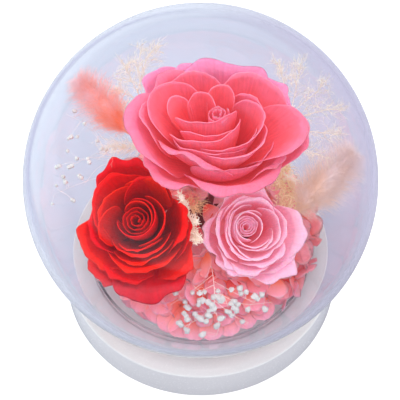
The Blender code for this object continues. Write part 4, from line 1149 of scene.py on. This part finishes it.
def make_loose_petals():
    """Single petals of florets between the roses, each set by its foot, bearing, slope and roll."""
    feet = np.array([row[0] for row in LOOSE_PETALS]) * MM
    bearing, slope, roll = np.radians([row[1:4] for row in LOOSE_PETALS]).T
    length, width, shade = np.array([row[4:] for row in LOOSE_PETALS]).T
    along = np.stack([np.cos(slope) * np.cos(bearing), np.cos(slope) * np.sin(bearing), np.sin(slope)],
                     axis=1)
    level = np.stack([-np.sin(bearing), np.cos(bearing), np.zeros(len(bearing))], axis=1)
    upward = np.cross(along, level)
    turned_level = level * np.cos(roll)[:, None] + upward * np.sin(roll)[:, None]
    axes = np.stack([along, turned_level, np.cross(along, turned_level)], axis=1)
    arrays = waved_leaves(feet, axes, length * MM, width * MM, length * 0.15 * MM, width * 0.10 * MM,
                          shade, (16, 13), (0.35, 7, 9))
    put_mesh("loose_floret_petals", *arrays, "hydrangea_floret", "hydrangea_floret")


def buds(centres, normals, radius, chance):
    """Small round flowers: lumpy balls, each a row of rings along its own axis.

    The radius varies by a product of sines of the place in the ball, for the lobes of its petals.
    """
    slope = np.linspace(0.12, math.pi - 0.12, 9)[None, :, None]
    paths = centres[:, None] - normals[:, None] * np.cos(slope) * radius[:, None, None]
    arrays = strand_arrays(paths, radius[:, None] * np.sin(slope[..., 0]), 10,
                           {"shade": chance.uniform(0, 1, (len(centres), 1))})
    place = arrays[0].reshape(len(centres), -1, 3) - centres[:, None]
    local = place / radius[:, None, None] * 3.4 + chance.uniform(0, 6, (len(centres), 1, 3))
    lobes = 1 + 0.20 * np.sin(local[..., 0]) * np.sin(local[..., 1]) + 0.12 * np.sin(1.7 * local[..., 2])
    points = keep_inside(centres[:, None] + place * lobes[..., None])
    return points.reshape(-1, 3), *arrays[1:]


def twigs(starts, ends, bend, radius, tip, sides, steps, shade=None):
    """Thin strands from starts to ends, bowed by a given vector times a half sine."""
    t = np.linspace(0, 1, steps)[None, :, None]
    paths = starts[:, None] * (1 - t) + ends[:, None] * t + bend[:, None] * np.sin(math.pi * t)
    radii = np.broadcast_to(radius * (1 - t[..., 0]) + tip * t[..., 0], paths.shape[:2])
    fields = {"shade": 0.5 if shade is None else shade[:, None]}
    return strand_arrays(keep_inside(paths), radii, sides, fields)


def spray_stems(name, thick, thin):
    """The stalk and branches of a spray as strands, and each branch's path."""
    stalk, branches = SPRAYS[name]
    stalk_path = smooth_path([on_foam(p) for p in stalk], 8)
    parts = [strand_arrays(stalk_path[None], np.full((1, len(stalk_path)), thick), 8, {"shade": 0.5})]
    paths = [smooth_path([on_foam(p) for p in branch], 8) for branch in branches]
    for path in paths:
        radii = np.linspace(thick * 0.7, thin, len(path))[None]
        parts.append(strand_arrays(path[None], radii, 6, {"shade": 0.5}))
    return parts, paths


def make_breath(name, seed, thick, places, radius):
    """Baby's breath: fine stems, a thin twig from the nearest stem to each place, a round flower on each."""
    chance = np.random.default_rng(seed)
    parts, paths = spray_stems(name, thick, thick * 0.45)
    stems = np.concatenate(paths)
    tips = keep_inside(np.array(places) * MM)
    away = np.linalg.norm(tips[:, None] - stems[None], axis=-1)
    starts = stems[np.argmin(np.where(away < NEAREST_TWIG, 1.0, away), axis=1)]
    bend = chance.normal(0, 0.0005, starts.shape) + [0.0, 0.0, 0.0006]
    parts.append(twigs(starts, tips, bend, thick * 0.4, thick * 0.25, 5, 7))
    put_mesh(name + "_stems", *joined(*parts), "breath_twig", "breath_spray", name)
    sizes = radius * chance.uniform(0.75, 1.15, len(tips))
    facing = unit(unit(tips - starts) + [0.0, -0.1, 0.4])
    put_mesh(name + "_flowers", *buds(tips, facing, sizes, chance), "breath_bud", "breath_spray")


def make_fern(name, seed):
    """Bleached fern: fine branches that carry curved branchlets, each with thin hair-like needles.

    Branchlets stand off their branch at every step, shorter towards its tip, and bow along it.
    Needles stand off each branchlet's outer four fifths.
    """
    chance = np.random.default_rng(seed)
    parts, paths = spray_stems(name, *FERN_STEM)
    starts, headings, lengths = [], [], []
    for path in paths:
        along = unit(np.gradient(path, axis=0))
        for i in range(3, len(path)):
            for _ in range(3):
                starts.append(path[i])
                headings.append(unit(along[i] * 0.9 + chance.normal(0, 0.55, 3)))
                lengths.append((12.0 - 7.0 * i / len(path)) * chance.uniform(0.55, 1.0) * MM)
    starts, headings, lengths = np.array(starts), np.array(headings), np.array(lengths)[:, None]
    ends = starts + headings * lengths
    bend = unit(np.cross(headings, chance.normal(0, 1, headings.shape))) * lengths * 0.14
    parts.append(twigs(starts, ends, bend, *FERN_BRANCHLET, 3, 6))
    way = chance.uniform(0.2, 1.0, (len(starts), NEEDLES, 1))
    foot = starts[:, None] * (1 - way) + ends[:, None] * way + bend[:, None] * np.sin(math.pi * way)
    side = unit(headings[:, None] * 0.95 + chance.normal(0, 0.45, foot.shape))
    reach = lengths[:, None] * chance.uniform(0.22, 0.5, way.shape)
    foot, side, reach = foot.reshape(-1, 3), side.reshape(-1, 3), reach.reshape(-1, 1)
    curl = np.cross(side, chance.normal(0, 1, side.shape)) * reach * 0.14
    parts.append(twigs(foot, foot + side * reach, curl, *FERN_NEEDLE, 3, 4))
    put_mesh(name + "_needles", *joined(*parts), "bleached_fern", "bleached_fern", name)


def make_wisps():
    """Cream wisps under the left grass head: fine hairs that fan out from short stretches of one stem."""
    chance = np.random.default_rng(29)
    feet = np.array(WISP_STEM) * MM
    way = chance.uniform(0, 1, (WISP_HAIRS, 1))
    starts = feet[0] * (1 - way) + feet[1] * way + chance.normal(0, 0.0005, (WISP_HAIRS, 3))
    headings = unit(np.array(WISP_HEADING) + chance.normal(0, 0.55, (WISP_HAIRS, 3)))
    reach = chance.uniform(4.0, 12.5, (WISP_HAIRS, 1)) * MM
    bend = np.cross(headings, chance.normal(0, 1, headings.shape)) * reach * 0.12
    hairs = twigs(starts, starts + headings * reach, bend, *WISP_HAIR, 3, 5)
    stem = twigs(feet[:1], feet[1:], np.zeros((1, 3)), *WISP_STALK, 4, 5)
    put_mesh("cream_wisps", *joined(hairs, stem), "bleached_fern", "bleached_fern")


def make_tuft():
    """Tan tuft at the foot of the right fern: short curled bits round a few points on its stalk."""
    chance = np.random.default_rng(27)
    middles = np.array(TUFT) * MM
    starts = (middles[:, None] + chance.normal(0, 0.0016, (len(middles), TUFT_BITS, 3))).reshape(-1, 3)
    headings = unit(chance.normal(0, 1, starts.shape) + [0.3, -0.3, 0.6])
    reach = chance.uniform(1.5, 4.5, (len(starts), 1)) * MM
    curl = np.cross(headings, chance.normal(0, 1, headings.shape)) * reach * 0.3
    bits = twigs(starts, starts + headings * reach, curl, *TUFT_BIT, 4, 5,
                 chance.uniform(0, 1, len(starts)))
    put_mesh("fern_tuft_bits", *bits, "tan_tuft", "bleached_fern")


def make_tail(name, look, seed, count, hair):
    """Bunny tail: a soft core on the solid's stations, and thin hairs that stand out from it all round.

    Each hair starts at a random place along the core, leans outward and towards the tip, and bows a
    little back to the axis. The shade runs from nothing at the foot to one at the tip.
    """
    chance = np.random.default_rng(seed)
    knots = np.array([on_foam(station[:3]) for station in HEADS[name]])
    widths = [station[3] * MM for station in HEADS[name]]
    path = smooth_path(knots, 10)
    place = np.linspace(0, len(knots) - 1, len(path))
    radii = np.interp(place, range(len(knots)), widths)
    width = np.convolve(np.pad(radii, 3, mode="edge"), np.ones(7) / 7, "valid") * 0.60
    width[:20] = np.minimum(width[:20], 0.00055)
    share = np.clip((place - 2.2) / (len(knots) - 3.4), 0.0, 1.0)
    arrays = strand_arrays(path[None], width[None], 16, {"shade": share[None]})
    put_mesh(name + "_core", *arrays, look, "grass_head", name)
    along = unit(np.gradient(path, axis=0))
    at = chance.uniform(2.1, len(knots) - 1.02, count) * 10
    low = np.floor(at).astype(int)
    rest = (at - low)[:, None]
    base = path[low] * (1 - rest) + path[low + 1] * rest
    axis = along[low]
    outward = unit(np.cross(axis, chance.normal(0, 1, (count, 3))))
    wide = np.interp(at / 10, range(len(knots)), widths)[:, None]
    lean = unit(outward + axis * chance.uniform(0.25, 1.1, (count, 1)) + chance.normal(0, 0.10, (count, 3)))
    length = hair * chance.uniform(0.35, 1.0, count)[:, None] * (0.4 + 0.6 * np.minimum(wide / 0.005, 1.0))
    start = base + outward * wide * 0.35
    end = start + lean * length
    bend = (axis - outward * 0.3) * length * 0.06 + chance.normal(0, 0.0003, (count, 3))
    hair_shade = np.interp(at / 10, place, share) * 0.75 + 0.25
    arrays = twigs(start, end, bend, *TAIL_HAIR, 3, 4, hair_shade)
    put_mesh(name + "_hairs", *arrays, look, "grass_head")


def make_sprig():
    """Dried sprig: forked stems with short stiff spikes all along them."""
    chance = np.random.default_rng(31)
    parts, paths = spray_stems("dried_sprig", *SPRIG_STEM)
    stalk = smooth_path([on_foam(p) for p in SPRAYS["dried_sprig"][0]], 8)[14:]
    starts, headings = [], []
    for path in [*paths, stalk]:
        along = unit(np.gradient(path, axis=0))
        for i in range(1, len(path)):
            for _ in range(8):
                starts.append(path[i] + chance.uniform(-0.0006, 0.0006, 3))
                headings.append(unit(along[i] * 0.8 + chance.normal(0, 0.6, 3)))
    starts, headings = np.array(starts), np.array(headings)
    length = chance.uniform(1.0, 3.0, len(starts))[:, None] * MM
    bend = np.cross(headings, chance.normal(0, 1, headings.shape)) * length * 0.10
    parts.append(twigs(starts, starts + headings * length, bend, *SPRIG_SPIKE, 4, 4))
    put_mesh("dried_sprig_spikes", *joined(*parts), "dried_sprig", "dried_sprig", "dried_sprig")


def make_strawflower():
    """Strawflower: four whorls of stiff bracts that close over the middle, on a thin stem, with fibres."""
    chance = np.random.default_rng(41)
    knots = np.array([on_foam(station[:3]) for station in HEADS["strawflower"][:4]])
    path = smooth_path(knots, 8)
    radii = np.interp(np.linspace(0, 3, len(path)), range(4), [0.6e-3, 0.6e-3, 1.0e-3, 2.6e-3])
    arrays = strand_arrays(path[None], radii[None], 12, {"shade": 0.5})
    put_mesh("strawflower_stem", *arrays, "tan_fibre", "strawflower", "strawflower")
    middle = np.array(STRAW_MIDDLE) * MM
    numbers, lengths, rises = zip(*WHORLS)
    count = sum(numbers)
    spin = np.concatenate([np.arange(n) / n * 2 * math.pi + 0.4 * k for k, n in enumerate(numbers)])
    length = np.repeat(lengths, numbers) * MM
    rise = np.repeat(rises, numbers) * MM
    axes = frames(np.tile([STRAW_FACING], (count, 1)), spin + chance.normal(0, 0.08, count))
    points, way, side = small_leaves(np.tile(middle, (count, 1)), axes, length, length * 0.75, rise,
                                     length * 0.15, 6, 5, tip=0.1)
    fields = leaf_fields(way, side, chance.uniform(0, 1, count))
    put_mesh("strawflower_bracts", *leaf_arrays(points, 0.0003, fields), "strawflower", "strawflower")
    count = STRAW_FIBRES
    start = middle + chance.normal(0, 0.0012, (count, 3)) + np.array([0.0008, -0.0015, 0.0])
    heading = unit(np.stack([chance.normal(0.5, 0.8, count), chance.normal(-0.5, 0.5, count),
                             chance.normal(0.45, 0.35, count)], axis=1))
    length = chance.uniform(4.0, 8.5, count)[:, None] * MM
    bend = chance.normal(0, 0.0008, (count, 3))
    fibres = twigs(start, start + heading * length, bend, *STRAW_FIBRE, 4, 6)
    put_mesh("strawflower_fibres", *fibres, "tan_fibre", "strawflower")


# Floor, light and camera

FLOOR_SIZE = 3.0
FLOOR_SIDES = (-0.02, 0.20)
FLOOR_GLOW = (0.25, 0.25, 0.25, 1.0)
# Colours that only the glass and the gloss show: lavender in the glass with painted shade deeper to the
# right, and painted reflections, darker in front with a band round the stand
FLOOR_LEFT = (0.48, 0.53, 0.63, 1.0)
FLOOR_RIGHT_PAINTED_SHADE = (0.38, 0.33, 0.44, 1.0)
FLOOR_PAINTED_REFLECTION = (0.54, 0.58, 0.66, 1.0)
FLOOR_PAINTED_REFLECTION_RIGHT = (0.36, 0.33, 0.46, 1.0)
FLOOR_PAINTED_REFLECTION_BAND = (0.36, 0.37, 0.50, 1.0)
FLOOR_PAINTED_REFLECTION_FRONT = (0.16, 0.14, 0.22, 1.0)
FLOOR_BOUNCE = (0.44, 0.42, 0.46, 1.0)
FLOOR_OVAL = (1 / 0.18, 1 / 0.7, 0.0)
ROOM_LOW = (0.52, 0.56, 0.68, 1.0)
ROOM_HIGH = (0.20, 0.20, 0.25, 1.0)
ROOM_RISE = (0.0, 0.5)
ROOM_SIDES = (0.68, 0.68, 0.71, 1.0)
ROOM_TOP = (1.28, 1.28, 1.30, 1.0)
ROOM_WITHIN = (1.35, 1.30, 1.32, 1.0)
# Soft boxes: place, target, width, height, power, colour
SOFTBOXES = {
    "top softbox": ((0.10, -0.05, 1.1), (0, 0, 0.05), 0.9, 0.9, 6.3, (1.0, 0.99, 0.99)),
    "left softbox": ((-0.9, 0.25, 0.7), (0, 0, 0.07), 0.6, 0.9, 4.2, (0.90, 1.0, 0.98)),
}


def floor_finish():
    """Matt white where it is seen directly, and lavender in the glass, with painted shade deeper to the
    right.

    What the gloss mirrors is a painted reflection, darker in front, with a band along part of an oval
    round the stand.
    Bounced light meets one plain colour.
    """
    made = grain_finish("pale floor", "F6F6F6", "F2F2F3", 4.0, 60.0, 0.6, 0.7, 0.02)
    tree = made.node_tree
    shader = tree.nodes["Principled BSDF"]
    near = shader.inputs["Base Color"].links[0].from_socket
    rays = add_node(tree, "LightPath").outputs
    place = object_place(tree)
    across, along, _ = add_node(tree, "SeparateXYZ", {0: place}).outputs
    away = add_node(tree, "VectorMath", {0: place, 1: FLOOR_OVAL}, operation="MULTIPLY")
    oval = add_node(tree, "VectorMath", {0: away.outputs[0]}, operation="LENGTH").outputs["Value"]
    # Painted reflection: a band along part of the oval, left of the middle, and a darker front
    band = times(tree, between(tree, oval, 0.55, 0.97), between(tree, oval, 1.06, 0.98))
    band = times(tree, band, between(tree, across, 0.05, -0.05))
    gloss = mixed(tree, between(tree, across, -0.05, 0.25), FLOOR_PAINTED_REFLECTION, FLOOR_PAINTED_REFLECTION_RIGHT)
    gloss = mixed(tree, between(tree, along, -0.25, 0.05), FLOOR_PAINTED_REFLECTION_FRONT, gloss)
    mirrored = reckon(tree, "GREATER_THAN", rays["Glossy Depth"], 0.5)
    lavender = mixed(tree, between(tree, across, *FLOOR_SIDES), FLOOR_LEFT, FLOOR_RIGHT_PAINTED_SHADE)
    lavender = mixed(tree, mirrored, lavender, mixed(tree, band, gloss, FLOOR_PAINTED_REFLECTION_BAND))
    lavender = mixed(tree, rays["Is Diffuse Ray"], lavender, FLOOR_BOUNCE)
    seen = rays["Is Camera Ray"]
    tree.links.new(mixed(tree, seen, lavender, near), shader.inputs["Base Color"])
    tree.links.new(mixed(tree, seen, (0.0, 0.0, 0.0, 1.0), FLOOR_GLOW), shader.inputs["Emission Color"])
    shader.inputs["Emission Strength"].default_value = 1.0
    return made


def make_floor():
    """The plain pale floor under the stand."""
    mesh = bpy.data.meshes.new("floor")
    size = FLOOR_SIZE
    mesh.from_pydata([(-size, -size, 0.0), (size, -size, 0.0), (size, size, 0.0), (-size, size, 0.0)], [],
                     [(0, 1, 2, 3)])
    mesh.materials.append(floor_finish())
    floor = bpy.data.objects.new("floor", mesh)
    bpy.context.scene.collection.objects.link(floor)


def area_light(name, place, target, width, height, power, colour):
    """A soft box aimed at a target, that isn't itself seen in the glass."""
    light = bpy.data.lights.new(name, "AREA")
    light.shape = "RECTANGLE"
    light.size = width
    light.size_y = height
    light.energy = power
    light.color = colour
    lamp = bpy.data.objects.new(name, light)
    lamp.location = place
    lamp.rotation_euler = (Vector(target) - Vector(place)).to_track_quat("-Z", "Y").to_euler()
    lamp.visible_glossy = False
    lamp.visible_transmission = False
    bpy.context.scene.collection.objects.link(lamp)


def make_light():
    """Soft room light all round, brighter above, and the soft boxes.

    What the glass and the gloss show first has a gradient of its own, and light that comes in
    through the glass after a bounce has one plain colour.
    """
    world = bpy.data.worlds.new("soft room")
    world.use_nodes = True
    tree = world.node_tree
    heading = add_node(tree, "TexCoord").outputs["Generated"]
    height = add_node(tree, "SeparateXYZ", {0: heading}).outputs["Z"]
    mirrored = mixed(tree, between(tree, height, *ROOM_RISE), ROOM_LOW, ROOM_HIGH)
    rays = add_node(tree, "LightPath").outputs
    first = reckon(tree, "LESS_THAN", rays["Diffuse Depth"], 0.5)
    through = reckon(tree, "MAXIMUM", rays["Is Glossy Ray"], rays["Is Transmission Ray"])
    through = times(tree, through, first)
    within = times(tree, rays["Is Transmission Ray"], reckon(tree, "SUBTRACT", 1.0, first))
    upward = between(tree, height, -0.1, 0.9, smooth=False)
    room = mixed(tree, upward, ROOM_SIDES, ROOM_TOP)
    room = mixed(tree, within, room, ROOM_WITHIN)
    colour = mixed(tree, through, room, mirrored)
    tree.links.new(colour, tree.nodes["Background"].inputs["Color"])
    bpy.context.scene.world = world
    for name, values in SOFTBOXES.items():
        area_light(name, *values)
    bpy.context.scene.view_settings.view_transform = "Standard"
    bpy.context.scene.view_settings.look = "None"


CAMERA_DISTANCE = 0.450
CAMERA_ANGLE = 56.3
CAMERA_TARGET = (0.0, 0.0, 0.07907)
FRAME_PIXELS = 400
FOCAL_PIXELS = 1054.0
MIDDLE_PIXEL = (200.5, 180.5)


def make_camera():
    """The photograph's view: from in front, at a steep angle, aimed at the middle of the globe."""
    camera = bpy.data.cameras.new("camera")
    camera.sensor_width = 36.0
    camera.lens = FOCAL_PIXELS * camera.sensor_width / FRAME_PIXELS
    camera.shift_x = (FRAME_PIXELS / 2 - MIDDLE_PIXEL[0]) / FRAME_PIXELS
    camera.shift_y = (MIDDLE_PIXEL[1] - FRAME_PIXELS / 2) / FRAME_PIXELS
    camera.clip_start = 0.01
    rise = math.radians(CAMERA_ANGLE)
    target = Vector(CAMERA_TARGET)
    eye = bpy.data.objects.new("camera", camera)
    eye.location = target + Vector((0.0, -math.cos(rise), math.sin(rise))) * CAMERA_DISTANCE
    eye.rotation_euler = (target - eye.location).to_track_quat("-Z", "Y").to_euler()
    bpy.context.scene.collection.objects.link(eye)
    bpy.context.scene.camera = eye


def main():
    """Everything in its order: view, light, floor, stand, glass, foam and flowers."""
    make_camera()
    make_light()
    make_floor()
    make_stand()
    make_globe()
    make_foam()
    for number, rose in enumerate(ROSES, 1):
        make_rose(number, rose)
    for name, values in HYDRANGEAS.items():
        make_hydrangea(name, *values)
    make_loose_petals()
    make_breath("babys_breath_front", 21, 0.00015, FRONT_BUDS, 0.00130)
    make_breath("babys_breath_left", 22, 0.00010, LEFT_BUDS, 0.00090)
    make_fern("bleached_fern_left", 23)
    make_fern("bleached_fern_right", 24)
    make_tail("bunny_tail_left", "tail_left", 25, 3600, 0.0125)
    make_tail("bunny_tail_right", "tail_right", 26, 4600, 0.0140)
    make_wisps()
    make_tuft()
    make_sprig()
    make_strawflower()


main()
